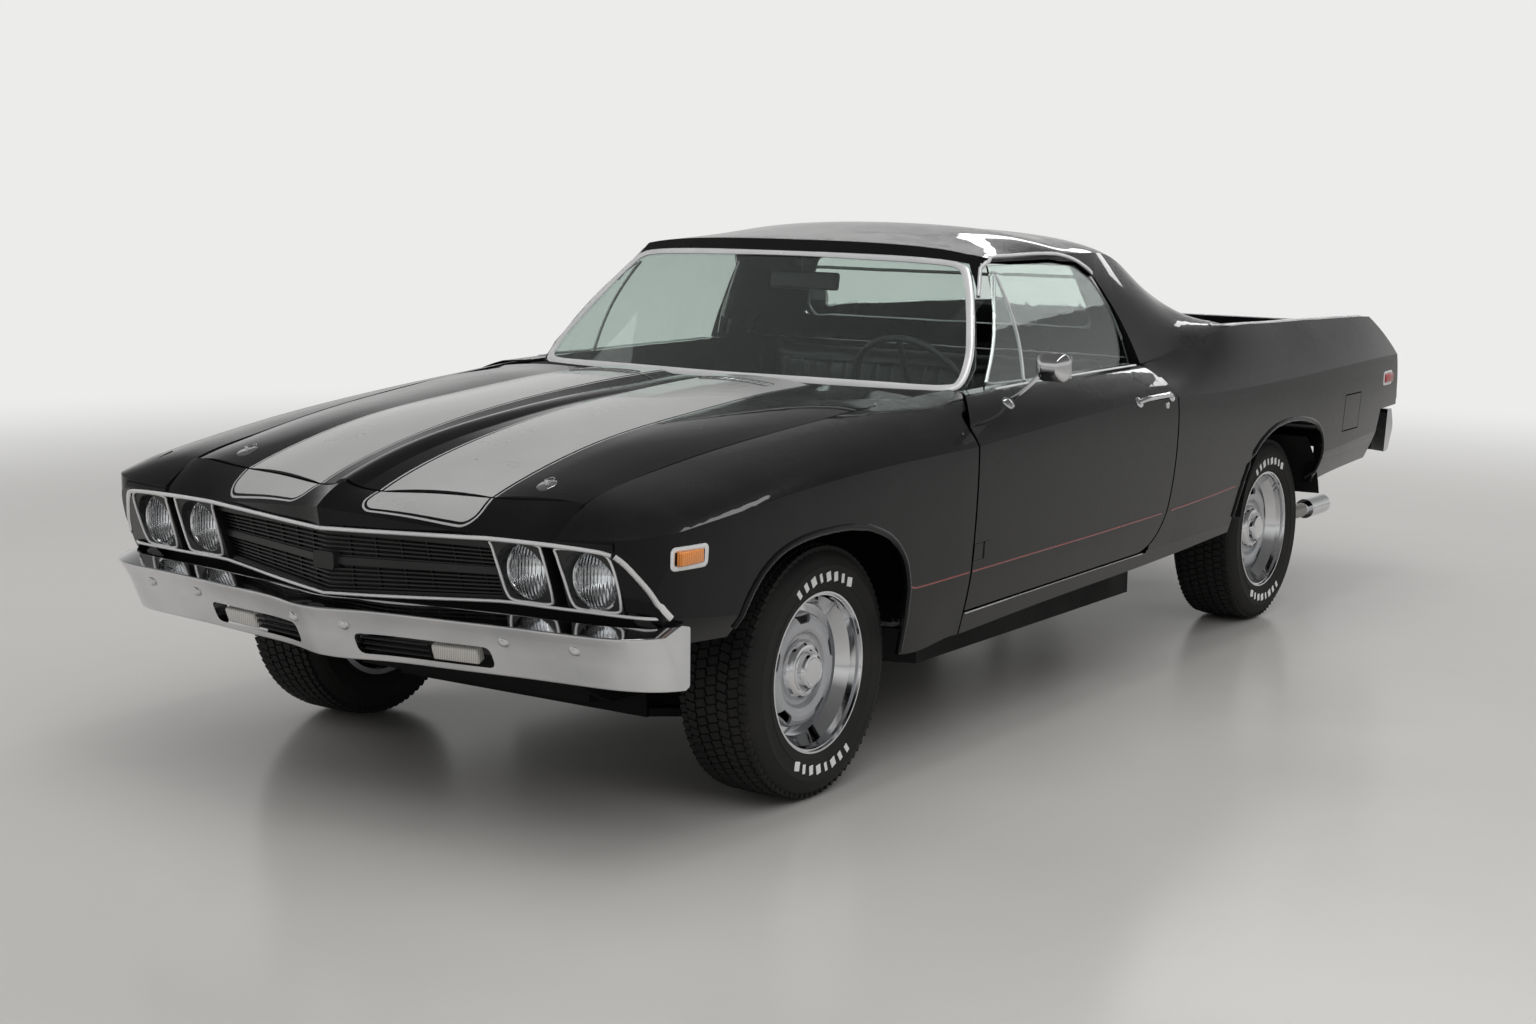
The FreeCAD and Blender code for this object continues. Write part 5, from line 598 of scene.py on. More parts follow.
# headlamps: chrome ring, reflector bowl and ribbed lens, with a bright frame round each
headlamp = {
    "places": {"Inner": (0.537, -2.365, 0.660), "Outer": (0.723, -2.352, 0.656)},
    "lens": [(0.0, 0.080), (0.020, 0.0792), (0.040, 0.0762), (0.055, 0.0718), (0.064, 0.0662), (0.066, 0.0620),
             (0.063, 0.0600), (0.050, 0.0690), (0.030, 0.0738), (0.0, 0.0760)],
    "bowl": [(0.0, 0.006), (0.012, 0.008), (0.030, 0.018), (0.048, 0.036), (0.060, 0.051), (0.0665, 0.0600),
             (0.0685, 0.0600), (0.062, 0.048), (0.050, 0.032), (0.031, 0.0135), (0.012, 0.004), (0.0, 0.002)],
    "ring": [(0.0635, 0.0610), (0.0700, 0.0580), (0.0735, 0.0620), (0.0725, 0.0700), (0.0680, 0.0720),
             (0.0640, 0.0670)],
    "frames": {"Inner": ((0.466, -2.484, 0.709), (0.04, -0.94, -0.33),
                         [(0.468, 0.731), (0.540, 0.733), (0.600, 0.731), (0.608, 0.715), (0.610, 0.660),
                          (0.609, 0.605), (0.598, 0.587), (0.540, 0.585), (0.492, 0.586), (0.476, 0.602),
                          (0.470, 0.655), (0.466, 0.712)]),
               "Outer": ((0.786, -2.469, 0.731), (0.09, -0.94, -0.34),
                         [(0.652, 0.728), (0.710, 0.731), (0.770, 0.729), (0.792, 0.712), (0.797, 0.660),
                          (0.793, 0.604), (0.778, 0.586), (0.720, 0.584), (0.676, 0.585), (0.660, 0.602),
                          (0.654, 0.655), (0.649, 0.710)])},
    "frameWidth": 0.007,
}


def headlampParts():
    meshes = {part: bmesh.new() for part in ("lens", "bowl", "ring")}
    for place in headlamp["places"].values():
        for part, mesh in meshes.items():
            spun(mesh, headlamp[part], place, (0.0, -1.0, 0.0), loop=part == "ring")
    for part, mesh in meshes.items():
        bothSides(mesh)
        slot, material = ("lamp_glass", "lampGlass") if part == "lens" else ("bright", "bright")
        piece = addPiece("headlamp" + part.title(), mesh, "root", material)
        if part == "lens":
            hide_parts("headlamps")


def headlampFrames():
    # each outline lies in a plane through its base
    mesh = bmesh.new()
    for base, normal, outline in headlamp["frames"].values():
        base, normal = Vector(base), Vector(normal).normalized()
        spots = []
        for x, z in (point.xy for point in smoothPath([(x, z, 0.0) for x, z in outline], parts=4, closed=True)):
            y = base.y - (normal.x * (x - base.x) + normal.z * (z - base.z)) / normal.y
            spots.append((Vector((x, y, z)), normal))
        sweep(mesh, spots, headlamp["frameWidth"], headlamp["frameWidth"], closed=True)
    bothSides(mesh)
    addPiece("headlampFrames", mesh, "root", "brightTrim")


headlampParts()
headlampFrames()
print("headlamps built")

# bumper bolts, hood pins and louvres
bolts = {"places": [(0.084, -2.582, 0.498), (0.514, -2.504, 0.496), (0.707, -2.488, 0.494)],
         "profile": [(0.0, 0.0095), (0.005, 0.0090), (0.0090, 0.0070), (0.0115, 0.0035), (0.0150, 0.0020),
                     (0.0155, -0.0030), (0.0, -0.0030)]}
mesh = bmesh.new()
for place, normal in laidOn("bumper", bolts["places"]):
    spun(mesh, bolts["profile"], place, normal, steps=24)
bothSides(mesh)
addPiece("bumperBolts", mesh, "root", "bright")

hoodPin = {"place": (0.502, -2.331, 0.845), "plate": (0.030, 0.022),
           "levels": [(1.0, -0.001), (1.0, 0.0015), (0.92, 0.0028)],
           "post": [(0.0, 0.016), (0.00315, 0.0155), (0.0045, 0.0130), (0.0045, 0.0), (0.0, 0.0)],
           "loop": (0.015, 0.009), "loopHeight": 0.0085, "wire": 0.0022, "steps": 24}


def hoodPins(pin):
    # an oval plate, a post with a round head and a wire ring lying through it
    place, normal = laidOn("hood", [pin["place"]])[0]
    base = Matrix.Translation(place) @ normal.to_track_quat("Z", "X").to_matrix().to_4x4()
    wide, deep = pin["plate"]
    mesh = bmesh.new()
    plate = []
    for share, height in pin["levels"]:
        size = Matrix.Diagonal((wide * share, deep * share, 1.0, 1.0))
        plate.append(base @ Matrix.Translation((0.0, 0.0, height)) @ size)
    joinedRings(mesh, plate, sides=32)
    spun(mesh, pin["post"], place, normal, steps=16)
    long, short = pin["loop"]
    ring = []
    for step in range(pin["steps"]):
        angle = math.tau * step / pin["steps"]
        point = base @ Vector((long * (1.0 + math.cos(angle)), short * math.sin(angle), pin["loopHeight"]))
        ring.append((point, normal))
    sweep(mesh, ring, pin["wire"], pin["wire"], sides=8, closed=True)
    bothSides(mesh)
    addPiece("hoodPins", mesh, "hood", "bright")


hoodPins(hoodPin)

louvre = {"middle": (0.238, -1.180), "above": 1.02, "half": (0.122, 0.026), "corner": 0.012, "step": 0.03,
          "ribs": 9, "width": 0.005}


def hoodLouvres(louvre):
    # a ribbed bright insert near the rear edge of each bulge
    middleX, middleY = louvre["middle"]
    halfX, halfY = louvre["half"]
    outline = roundedFrame(halfX, halfY, louvre["corner"], louvre["step"])
    mesh = bmesh.new()
    path = [(middleX + x, middleY + y, louvre["above"]) for x, y in outline]
    sweep(mesh, laidOn("hood", path), louvre["width"], louvre["width"], sides=8, closed=True)
    for rib in range(louvre["ribs"]):
        x = middleX + halfX * (2.0 * (rib + 1) / (louvre["ribs"] + 1) - 1.0)
        path = [(x, middleY + halfY * step / 3, louvre["above"]) for step in (-3, -1, 1, 3)]
        sweep(mesh, laidOn("hood", path), louvre["width"], louvre["width"], sides=8)
    bothSides(mesh)
    addPiece("hoodLouvres", mesh, "hood", "bright")


hoodLouvres(louvre)
print("bolts, pins and louvres set")

# lamp frames, door handles, locks and mirror
lampFrames = {"width": 0.013, "height": 0.007, "corner": 0.008, "half": (0.053, 0.0215), "step": 0.03,
              "places": {"fender": (-2.321, 0.715), "quarter": (2.288, 0.806)}}
mesh = bmesh.new()
for surface, (middleY, middleZ) in lampFrames["places"].items():
    outline = roundedFrame(*lampFrames["half"], lampFrames["corner"], lampFrames["step"])
    spots = [besideAt(surface, middleY + y, middleZ + z) for y, z in outline]
    sweep(mesh, spots, lampFrames["width"], lampFrames["height"], closed=True)
bothSides(mesh)
addPiece("sideLampFrames", mesh, "root", "brightTrim")

tailFrame = {"middle": (0.860, 2.60, 0.7925), "half": (0.0465, 0.078), "corner": 0.014, "step": 0.02,
             "width": 0.008, "bar": 0.006}


def tailFrames(trim):
    # a frame with a bar across its middle
    x, y, z = trim["middle"]
    mesh = bmesh.new()
    outline = roundedFrame(*trim["half"], trim["corner"], trim["step"])
    path = [(x + across, y, z + up) for across, up in outline]
    sweep(mesh, laidOn("tail", path), trim["width"], trim["width"], closed=True)
    bar = [(x + trim["half"][0] * step, y, z) for step in (-1.0, -0.5, 0.0, 0.5, 1.0)]
    sweep(mesh, laidOn("tail", bar), trim["bar"], trim["bar"])
    bothSides(mesh)
    addPiece("tailLampFrames", mesh, "root", "bright")


tailFrames(tailFrame)

handle = {"from": -0.066, "to": 0.196, "z": 0.893, "wide": 0.017, "thick": 0.010, "lift": 0.020, "sunk": 0.002,
          "steps": 24, "ramp": 4.5, "inset": 0.012, "lock": (0.960, 0.150, 0.868),
          "foot": [(0.0, 0.006), (0.012, 0.0055), (0.0165, 0.003), (0.018, -0.002), (0.0, -0.002)],
          "lockProfile": [(0.0, 0.0045), (0.0075, 0.0045), (0.0105, 0.0030), (0.0115, -0.0020), (0.0, -0.0020)]}


def doorHandle(side, body):
    spots = []
    for step in range(handle["steps"] + 1):
        share = step / handle["steps"]
        place, normal = besideAt("door", handle["from"] + (handle["to"] - handle["from"]) * share, handle["z"])
        out = min(1.0, handle["ramp"] * share, handle["ramp"] * (1.0 - share))
        spots.append((place + normal * (handle["lift"] * math.sin(out * math.pi / 2) - handle["sunk"]), normal))
    mesh = bmesh.new()
    sweep(mesh, spots, handle["wide"], handle["thick"], sides=12)
    for y in (handle["from"] + handle["inset"], handle["to"] - handle["inset"]):
        spun(mesh, handle["foot"], *besideAt("door", y, handle["z"]), steps=24)
    spun(mesh, handle["lockProfile"], *laidOn("door", [handle["lock"]])[0], steps=24)
    addSided("doorHandle", side, mesh, body, "bright")


for side, body in doors.items():
    doorHandle(side, body)

doorMirror = {"middle": (1.025, -0.778, 1.051), "size": (0.104, 0.056, 0.080), "round": 0.026, "front": 0.70,
              "glass": (0.088, 0.004, 0.064), "glassRound": 0.0015, "stemWide": 0.013,
              "stem": [(0.908, -0.792, 0.958), (0.930, -0.792, 0.972), (0.962, -0.788, 1.000), (0.990, -0.782, 1.030)],
              "foot": [(0.0, 0.010), (0.012, 0.009), (0.020, 0.004), (0.022, -0.004), (0.0, -0.004)]}


def mirrorOnDoor(mirror):
    mesh = bmesh.new()
    middle = Vector(mirror["middle"])
    halfDeep = mirror["size"][1] / 2
    block(mesh, mirror["size"], Matrix.Translation(middle), mirror["round"], segments=6)
    for vert in mesh.verts:
        # the shell draws in towards its front
        share = max(0.0, (middle.y - vert.co.y) / halfDeep)
        narrow = 1.0 - (1.0 - mirror["front"]) * share
        vert.co.x = middle.x + (vert.co.x - middle.x) * narrow
        vert.co.z = middle.z + (vert.co.z - middle.z) * narrow
    stem = facing(smoothPath(mirror["stem"], parts=4), (0.0, -1.0, 0.0))
    sweep(mesh, stem, mirror["stemWide"], mirror["stemWide"])
    spun(mesh, mirror["foot"], *laidOn("door", [mirror["stem"][0]])[0], steps=24)
    shell = addPiece("mirrorShell", mesh, "driver_door", "bright")
    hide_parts("mirror")
    mesh = bmesh.new()
    rear = middle + Vector((0.0, halfDeep, 0.0))
    block(mesh, mirror["glass"], Matrix.Translation(rear), mirror["glassRound"])
    addPiece("mirrorGlass", mesh, "driver_door", "bright")


mirrorOnDoor(doorMirror)
print("lamp frames, handles and mirror set")

# fillers: dark panels behind the rear wheels, skin over the hinge pockets, a brow above the outer lamps
wheelhouse = {"radius": 0.385, "x": 0.766, "wide": 0.318, "thick": 0.006, "arcs": ((14, 56), (124, 166)), "steps": 6}
mesh = bmesh.new()
for start, end in wheelhouse["arcs"]:
    spots = []
    for step in range(wheelhouse["steps"] + 1):
        angle = math.radians(start + (end - start) * step / wheelhouse["steps"])
        out = Vector((0.0, math.cos(angle), math.sin(angle)))
        middle = Vector((wheelhouse["x"], wheels["rear"], wheels["height"]))
        spots.append((middle + out * wheelhouse["radius"], out))
    sweep(mesh, spots, wheelhouse["wide"], wheelhouse["thick"])
bothSides(mesh)
addPiece("rearWheelhouse", mesh, "root", "chassisPaint")

hingeCover = {"low": 0.5368, "high": 0.5828, "margin": 0.004, "thick": 0.0012, "proud": 0.0002, "sampleY": -0.96,
              "Front": (-1.0568, -1.0088), "Back": (-0.9998, -0.9745)}


def hingeSkin(part, side, body):
    # a thin plate that carries on the door's skin, its slope taken just above and below the pocket
    low, high, margin = hingeCover["low"], hingeCover["high"], hingeCover["margin"]
    lowX, highX = (besideAt("door", hingeCover["sampleY"], z)[0].x for z in (low - margin, high + margin))
    start, end = hingeCover[part]
    mesh = bmesh.new()
    bmesh.ops.create_grid(mesh, x_segments=1, y_segments=2, size=0.5)
    for vert in mesh.verts:
        z = low + (high - low) * (vert.co.y + 0.5)
        x = lowX + (highX - lowX) * (z - low + margin) / (high - low + 2 * margin)
        vert.co = (x + hingeCover["proud"], end if vert.co.x > 0 else start, z)
    mesh.normal_update()
    bmesh.ops.solidify(mesh, geom=mesh.faces[:], thickness=hingeCover["thick"])
    addSided("hingeCover" + part, side, mesh, body, "sidePaint")


for part in ("Front", "Back"):
    for side, door in doors.items():
        hingeSkin(part, side, door if part == "Back" else "root")

lampBrow = {"points": [(0.644, -2.476, 0.7400), (0.680, -2.474, 0.7405), (0.720, -2.4715, 0.7415),
                       (0.760, -2.469, 0.7430), (0.806, -2.464, 0.7440)],
            "normal": (0.05, -1.0, -0.1), "width": 0.026, "height": 0.016}
mesh = bmesh.new()
spots = facing(smoothPath(lampBrow["points"]), lampBrow["normal"])
sweep(mesh, spots, lampBrow["width"], lampBrow["height"], sides=12)
bothSides(mesh)
addPiece("lampBrow", mesh, "root", "bodyPaint")

# lenses: signals set back in the bumper, lamps on the sides, fins in the openings
lenses = {"signal": {"size": (0.130, 0.030, 0.040), "middle": (0.357, -2.484, 0.451), "turn": 8.35, "lean": 20.0,
                     "round": 0.007},
          "side": {"size": (0.016, 0.086, 0.032), "middles": [(0.9125, -2.321, 0.715), (0.9335, 2.288, 0.806)],
                   "round": 0.003}}


def markerLenses():
    mesh = bmesh.new()
    signal, side = lenses["signal"], lenses["side"]
    lean = Matrix.Rotation(math.radians(signal["lean"]), 4, "X")
    matrix = leaning(signal["middle"], signal["turn"], "Z") @ lean
    block(mesh, signal["size"], matrix, signal["round"], segments=4)
    for middle in side["middles"]:
        block(mesh, side["size"], Matrix.Translation(middle), side["round"], segments=3)
    bothSides(mesh)
    piece = addPiece("markerLenses", mesh, "root", "markerLens")
    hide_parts("marker_lamps")


markerLenses()

fins = {"from": 0.100, "to": 0.288, "levels": (0.4365, 0.451, 0.4655), "middle": 0.451, "face": -2.531,
        "slope": 0.1467, "lean": 0.45, "normal": (0.14, -0.88, -0.46), "thick": 0.005, "deep": 0.012}
mesh = bmesh.new()
for z in fins["levels"]:
    path = [(x, fins["face"] + fins["slope"] * (x - fins["from"]) - fins["lean"] * (z - fins["middle"]), z)
            for x in (fins["from"], (fins["from"] + fins["to"]) / 2, fins["to"])]
    sweep(mesh, facing(path, fins["normal"]), fins["thick"], fins["deep"], sides=8)
bothSides(mesh)
addPiece("openingFins", mesh, "root", "grilleBlack")
print("fillers and lenses set")

# plate place at the rear, bare, and the tailgate's edge strip
plate = {"size": (0.296, 0.0016, 0.148), "middle": (0.0, 2.4745, 0.5895), "round": 0.0007, "corner": 0.010,
         "step": 0.05, "frame": (0.006, 0.005), "frameOut": 0.001, "bolts": 0.0889, "boltZ": 0.636, "boltOut": 0.0008,
         "bolt": [(0.0, 0.0035), (0.0045, 0.0032), (0.0060, 0.0015), (0.0062, 0.0), (0.0, 0.0)]}


def platePlace(plate):
    mesh = bmesh.new()
    block(mesh, plate["size"], Matrix.Translation(plate["middle"]), plate["round"])
    addPiece("barePlate", mesh, "root", "plateWhite")
    x, y, z = plate["middle"]
    outline = roundedFrame(plate["size"][0] / 2, plate["size"][2] / 2, plate["corner"], plate["step"])
    path = [(x + across, y + plate["frameOut"], z + up) for across, up in outline]
    mesh = bmesh.new()
    sweep(mesh, facing(path, (0.0, 1.0, 0.0)), *plate["frame"], sides=8, closed=True)
    for x in (-plate["bolts"], plate["bolts"]):
        spun(mesh, plate["bolt"], (x, y + plate["boltOut"], plate["boltZ"]), (0.0, 1.0, 0.0), steps=16)
    addPiece("plateFrame", mesh, "root", "bright")


platePlace(plate)

gateStrip = {"half": 0.745, "y": 2.330, "z": 1.030, "width": 0.014, "height": 0.006}
mesh = bmesh.new()
path = [(gateStrip["half"] * step / 4, gateStrip["y"], gateStrip["z"]) for step in range(-4, 5)]
sweep(mesh, laidOn("tailgate", path), gateStrip["width"], gateStrip["height"])
addPiece("gateStrip", mesh, "tailgate", "brightTrim")
print("rear trim set")

# cab: pleated bench seat, inside mirror, gauges
bench = {
    "cushion": {"size": (1.300, 0.500, 0.138), "middle": (0.0, 0.092, 0.520), "lean": -5.5, "round": 0.045,
                "pleats": (2, -0.120, 0.200, 1)},
    "back": {"size": (1.300, 0.090, 0.415), "middle": (0.0, 0.316, 0.785), "lean": -8.2, "round": 0.036,
             "pleats": (1, 0.660, 0.930, 2)},
    "voxel": 0.012, "pressure": 4.0, "frames": 20, "travel": 0.020,
    "pitch": 0.062, "groove": 0.007, "depth": 0.006, "edge": 0.600, "seam": 0.01, "facing": 0.55,
}


def bakedMesh(piece):
    graph = bpy.context.evaluated_depsgraph_get()
    return bpy.data.meshes.new_from_object(piece.evaluated_get(graph))


def withModifier(data, kind, settings):
    # a mesh with one modifier worked into it
    holder = bpy.data.objects.new("holder", data)
    scene.collection.objects.link(holder)
    modifier = holder.modifiers.new(kind, kind)
    for key, value in settings.items():
        setattr(modifier, key, value)
    result = bakedMesh(holder)
    bpy.data.objects.remove(holder)
    return result


def swollen(data):
    # air pressure pushes the pad out for a few frames, and each point keeps near its start
    start = [vert.co.copy() for vert in data.vertices]
    holder = bpy.data.objects.new("holder", data)
    scene.collection.objects.link(holder)
    cloth = holder.modifiers.new("cloth", "CLOTH")
    cloth.settings.use_pressure = True
    cloth.settings.uniform_pressure_force = bench["pressure"]
    cloth.settings.effector_weights.gravity = 0.0
    cloth.point_cache.frame_start = 1
    cloth.point_cache.frame_end = bench["frames"]
    for frameNumber in range(1, bench["frames"] + 1):
        scene.frame_set(frameNumber)
    result = bakedMesh(holder)
    for vert, place in zip(result.vertices, start):
        move = vert.co - place
        if move.length > bench["travel"]:
            vert.co = place + move.normalized() * bench["travel"]
    bpy.data.objects.remove(holder)
    scene.frame_set(1)
    return result


def seatPad(name, part):
    pad = bench[part]
    mesh = bmesh.new()
    block(mesh, pad["size"], leaning(pad["middle"], pad["lean"]), pad["round"], segments=4)
    data = bpy.data.meshes.new(name)
    bmesh.ops.recalc_face_normals(mesh, faces=mesh.faces)
    mesh.to_mesh(data)
    mesh.free()
    data = withModifier(data, "REMESH", {"mode": "VOXEL", "voxel_size": bench["voxel"]})
    data = swollen(data)
    data = withModifier(data, "SUBSURF", {"levels": 1, "render_levels": 1})
    face, low, high, along = pad["pleats"]  # the face's axis, the pleats' two ends and their axis
    sign = 1.0 if face == 2 else -1.0
    shapes = [(vert, vert.normal.copy()) for vert in data.vertices]
    for vert, normal in shapes:
        if normal[face] * sign < bench["facing"]:
            continue
        place = vert.co[along]
        inside = low < place < high and abs(vert.co.x) < bench["edge"]
        near = abs((vert.co.x / bench["pitch"] + 0.5) % 1.0 - 0.5) * bench["pitch"] if inside else 1.0
        if abs(vert.co.x) < bench["edge"] + bench["seam"]:
            near = min(near, abs(place - low), abs(place - high))
        vert.co -= normal * bench["depth"] * math.exp(-((near / bench["groove"]) ** 2))
    mesh = bmesh.new()
    mesh.from_mesh(data)
    piece = addPiece(name, mesh, "root", "seatVinyl", sharp=3.0)
    return piece


cushion = seatPad("benchCushion", "cushion")
back = seatPad("benchBack", "back")
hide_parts("seat")
print("bench seat made")

insideMirror = {"middle": (-0.010, -0.455, 1.240), "size": (0.250, 0.022, 0.055), "lean": -8.0, "round": 0.009,
                "stem": [(0.0, -0.470, 1.262), (0.0, -0.478, 1.300), (0.0, -0.482, 1.345)], "stemWide": 0.010}
mesh = bmesh.new()
tilt = leaning(insideMirror["middle"], insideMirror["lean"])
block(mesh, insideMirror["size"], tilt, insideMirror["round"], segments=4)
sweep(mesh, facing(insideMirror["stem"], (1.0, 0.0, 0.0)), insideMirror["stemWide"], insideMirror["stemWide"])
addPiece("insideMirror", mesh, "root", "trimBlack")

# profiles and ticks are shares of each gauge's radius, heights in metres
gauges = {"places": [(0.262, 0.050), (0.372, 0.050), (0.482, 0.050), (0.150, 0.030)], "y": -0.60, "z": 0.868,
          "ring": [(0.86, 0.001), (0.90, 0.006), (0.97, 0.006), (1.0, 0.001)],
          "face": [(0.0, 0.0022), (0.87, 0.0022), (0.87, -0.001), (0.0, -0.001)],
          "ticks": 9, "firstTick": -120, "tickStep": 30, "tickAt": (0.72, 0.0026), "tick": (0.0016, 0.14, 0.0010)}


def gaugeSet():
    rings, faces = bmesh.new(), bmesh.new()
    for x, radius in gauges["places"]:
        place, normal = laidOn("dash", [(x, gauges["y"], gauges["z"])])[0]
        spun(rings, [(share * radius, height) for share, height in gauges["ring"]], place, normal, 40, loop=True)
        spun(faces, [(share * radius, height) for share, height in gauges["face"]], place, normal, 40)
        base = Matrix.Translation(place) @ normal.to_track_quat("Z", "Y").to_matrix().to_4x4()
        reach, height = gauges["tickAt"]
        wide, long, thick = gauges["tick"]
        for tick in range(gauges["ticks"]):
            turn = Matrix.Rotation(math.radians(gauges["firstTick"] + gauges["tickStep"] * tick), 4, "Z")
            matrix = base @ turn @ Matrix.Translation((0.0, radius * reach, height))
            block(rings, (wide, radius * long, thick), matrix)
    addPiece("gaugeRings", rings, "root", "bright")
    addPiece("gaugeFaces", faces, "root", "trimBlack")


gaugeSet()

dashStrip = {"half": 0.70, "y": -0.60, "z": 0.805, "width": 0.010, "height": 0.005}
mesh = bmesh.new()
path = [(dashStrip["half"] * step / 6, dashStrip["y"], dashStrip["z"]) for step in range(-6, 7)]
sweep(mesh, laidOn("dash", path), dashStrip["width"], dashStrip["height"])
addPiece("dashStrip", mesh, "root", "bright")
print("cab fitted")

# tyres: carcass, tread blocks in rows of (offset, top, width), and plain white sidewall marks
tyre = {
    "half": [(0.319, 0.0), (0.319, 0.035), (0.318, 0.070), (0.3155, 0.088), (0.311, 0.096), (0.303, 0.106),
             (0.290, 0.1145), (0.276, 0.1180), (0.2745, 0.1190), (0.2725, 0.1180), (0.255, 0.1180), (0.239, 0.1165),
             (0.2375, 0.1180), (0.2355, 0.1180), (0.234, 0.1160), (0.222, 0.1130), (0.212, 0.1080), (0.206, 0.1030),
             (0.200, 0.0960)],
    "rows": [(0.0, 0.3266, 0.026), (0.032, 0.3265, 0.026), (0.063, 0.3255, 0.025), (0.088, 0.3215, 0.017)],
    "count": 84, "slant": 16.0, "fill": 0.80, "deep": 0.012,
    "marks": {"groups": (0.0, 180.0), "count": 8, "step": 8.0, "radius": 0.2465, "out": 0.1181,
              "size": (0.0016, 0.022, 0.024), "slant": 14.0, "round": 0.0004, "uneven": (0.75, 0.25, 2.4)},
}


def tyreCarcass(centre):
    mesh = bmesh.new()
    half = tyre["half"]
    profile = half[::-1] + [(reach, -along) for reach, along in half[1:]]
    spun(mesh, profile, centre, (1.0, 0.0, 0.0), steps=96, loop=True)
    length = math.tau * wheels["height"] / tyre["count"] * tyre["fill"]
    for row, (offset, top, wide) in enumerate(tyre["rows"]):
        shift, way = (0.5, -1) if row % 2 else (0.0, 1)  # odd rows are staggered and slant the other way
        for sign in ((1, -1) if offset else (1,)):
            lean = Matrix.Rotation(math.radians(tyre["slant"] * sign * way), 4, "Z")
            out = Matrix.Translation((offset * sign, 0.0, top - tyre["deep"] / 2)) @ lean
            for step in range(tyre["count"]):
                turn = Matrix.Rotation(math.tau * (step + shift) / tyre["count"], 4, "X")
                block(mesh, (wide, length, tyre["deep"]), Matrix.Translation(centre) @ turn @ out)
    return mesh


def sidewallMarks(centre, side):
    mesh = bmesh.new()
    marks = tyre["marks"]
    thick, wide, high = marks["size"]
    least, more, beat = marks["uneven"]  # the marks differ in width
    lean = Matrix.Rotation(math.radians(marks["slant"]), 4, "X")
    out = Matrix.Translation((side * marks["out"], 0.0, marks["radius"])) @ lean
    for group in marks["groups"]:
        for step in range(marks["count"]):
            turn = leaning(centre, group + (step - (marks["count"] - 1) / 2) * marks["step"])
            share = least + more * math.cos(beat * step)
            block(mesh, (thick, wide * share, high), turn @ out, marks["round"], segments=1)
    return mesh


for end in ("front", "rear"):
    for sideName, side in (("left", 1), ("right", -1)):
        centre = Vector((side * wheels["middle"], wheels[end], wheels["height"]))
        name, body = end.title() + sideName.title(), "wheel_" + end + "_" + sideName
        piece = addPiece("tyre" + name, tyreCarcass(centre), body, "rubber", sharp=0.5)
        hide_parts("tyre_" + end + "_" + sideName)
        addPiece("sidewallMarks" + name, sidewallMarks(centre, side), body, "markWhite")
print("tyres built")

# studio: pale floor, soft lights and the photograph's camera
# each lamp has its place, its size, its power and whether gloss shows it
studio = {"floor": (0.40, 0.39, 0.375), "background": (0.84, 0.84, 0.83), "world": 0.62, "near": 4.2, "far": 9.5,
          "floorSize": 60.0, "patches": 0.9, "darker": 0.90, "gloss": (0.16, 0.30), "aimHeight": 0.7,
          "sky": [(0.0, 0.50), (0.10, 0.62), (0.22, 0.50), (0.45, 0.16), (1.0, 0.10)],
          "lamps": {"keyLamp": ((5.5, -5.0, 6.5), (7.0, 5.0), 270.0, False),
                    "topLamp": ((0.6, -0.6, 6.5), (2.0, 7.0), 190.0, False),
                    "fillLamp": ((-6.0, -3.5, 4.5), (6.0, 5.0), 150.0, False),
                    "rearLamp": ((2.0, 6.5, 5.0), (6.0, 3.0), 170.0, False),
                    "roofStrip": ((1.1, -0.6, 6.5), (0.45, 9.0), 55.0, True),
                    "shoulderStrip": ((-2.1, 8.0, 4.25), (8.0, 0.32), 42.0, True)}}


def seenDirectly(tree):
    path = addNode(tree, "LightPath", {}).outputs
    return calc("MAXIMUM", path["Is Camera Ray"], path["Is Transmission Ray"]), path["Is Glossy Ray"]


def mixShaders(factor, first, second):
    return addNode(factor.id_data, "MixShader", {"Fac": factor, 1: first, 2: second}).outputs["Shader"]


def makeFloor():
    # a pale polished floor that fades into the background away from the car
    mesh = bmesh.new()
    bmesh.ops.create_grid(mesh, x_segments=1, y_segments=1, size=studio["floorSize"])
    data = bpy.data.meshes.new("floor")
    mesh.to_mesh(data)
    mesh.free()
    floor = bpy.data.objects.new("floor", data)
    scene.collection.objects.link(floor)
    material, tree, shader = newMaterial("floorPaint")
    point = objectPoint(tree)
    broad = noiseOf(point, studio["patches"], 4.0)
    dark = tuple(level * studio["darker"] for level in studio["floor"])
    feed(shader.inputs["Base Color"], blendColours(spread(broad, 0.0, 1.0, 0.1, 0.9), dark, studio["floor"]))
    feed(shader.inputs["Roughness"], spread(broad, *studio["gloss"], 0.1, 0.9))
    away = addNode(tree, "VectorMath", {0: point}, operation="LENGTH").outputs["Value"]
    fade = addNode(tree, "MapRange", {"Value": away, "From Min": studio["near"], "From Max": studio["far"]},
                   interpolation_type="SMOOTHSTEP").outputs["Result"]
    glow = addNode(tree, "Emission", {"Color": studio["background"]}).outputs["Emission"]
    shown = calc("MULTIPLY", fade, seenDirectly(tree)[0])
    feed(tree.nodes["Material Output"].inputs["Surface"], mixShaders(shown, shader.outputs["BSDF"], glow))
    data.materials.append(material)


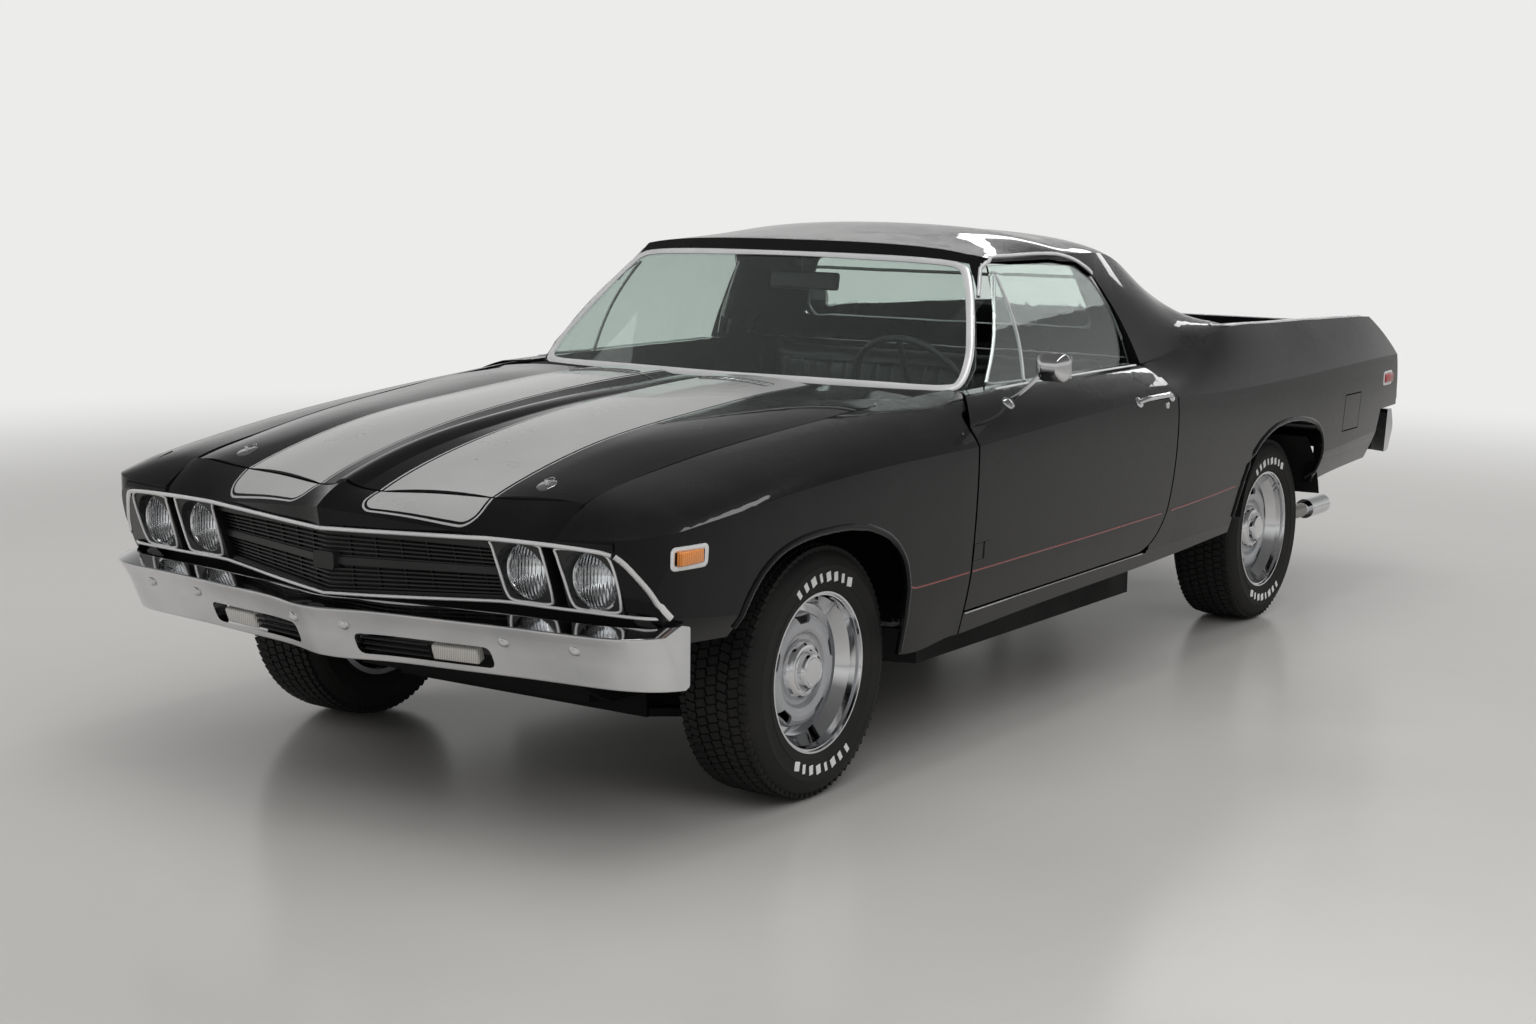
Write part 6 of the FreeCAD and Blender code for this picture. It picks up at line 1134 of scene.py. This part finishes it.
def makeWorld():
    # the camera sees one pale tone; gloss sees a pale band near the horizon under a darker ceiling
    world = bpy.data.worlds.new("studio")
    scene.world = world
    world.use_nodes = True
    tree = world.node_tree
    tree.nodes.clear()
    height = axesOf(addNode(tree, "TexCoord", {}).outputs["Generated"])[2]
    ramp = addNode(tree, "ValToRGB", {"Fac": height})
    stops = ramp.color_ramp.elements
    for index, (where, level) in enumerate(studio["sky"]):
        stop = stops[index] if index < 2 else stops.new(where)
        stop.position = where
        stop.color = (level, level, level * 0.99, 1.0)
    soft, sky, plain = (addNode(tree, "Background", {"Color": colour, "Strength": strength}).outputs["Background"]
                        for colour, strength in (((1.0, 1.0, 1.0), studio["world"]), (ramp.outputs["Color"], 1.0),
                                                 (studio["background"], 1.0)))
    seen, glossy = seenDirectly(tree)
    addNode(tree, "OutputWorld", {"Surface": mixShaders(seen, mixShaders(glossy, soft, sky), plain)})


def makeLamps():
    for name, (place, size, power, shown) in studio["lamps"].items():
        data = bpy.data.lights.new(name, "AREA")
        data.shape = "RECTANGLE"
        data.size, data.size_y = size
        data.energy = power
        lamp = bpy.data.objects.new(name, data)
        lamp.location = place
        # strips seen in the paint lie square to the car
        aim = Vector((place[0] if shown else 0.0, 0.0, studio["aimHeight"]))
        lamp.rotation_euler = (aim - Vector(place)).to_track_quat("-Z", "Y").to_euler()
        lamp.visible_glossy = shown
        scene.collection.objects.link(lamp)


view = {"place": (3.86535, -6.38554, 1.58398), "turn": 34.0196, "down": 8.6432, "roll": 0.7376, "lens": 52.898,
        "sensor": 36.0}


def makeCamera():
    data = bpy.data.cameras.new("camera")
    data.sensor_width = view["sensor"]
    data.lens = view["lens"]
    camera = bpy.data.objects.new("camera", data)
    turn, down, roll = (math.radians(view[key]) for key in ("turn", "down", "roll"))
    back = Vector((math.sin(turn) * math.cos(down), -math.cos(turn) * math.cos(down), math.sin(down)))
    right = Vector((0.0, 0.0, 1.0)).cross(back).normalized()
    up = back.cross(right)
    rolledRight = right * math.cos(roll) + up * math.sin(roll)
    rolledUp = up * math.cos(roll) - right * math.sin(roll)
    axes = Matrix((rolledRight, rolledUp, back)).transposed().to_4x4()
    camera.matrix_world = Matrix.Translation(view["place"]) @ axes
    scene.collection.objects.link(camera)
    scene.camera = camera


makeFloor()
makeWorld()
makeLamps()
makeCamera()
scene.view_settings.view_transform = "Standard"
print("studio set")
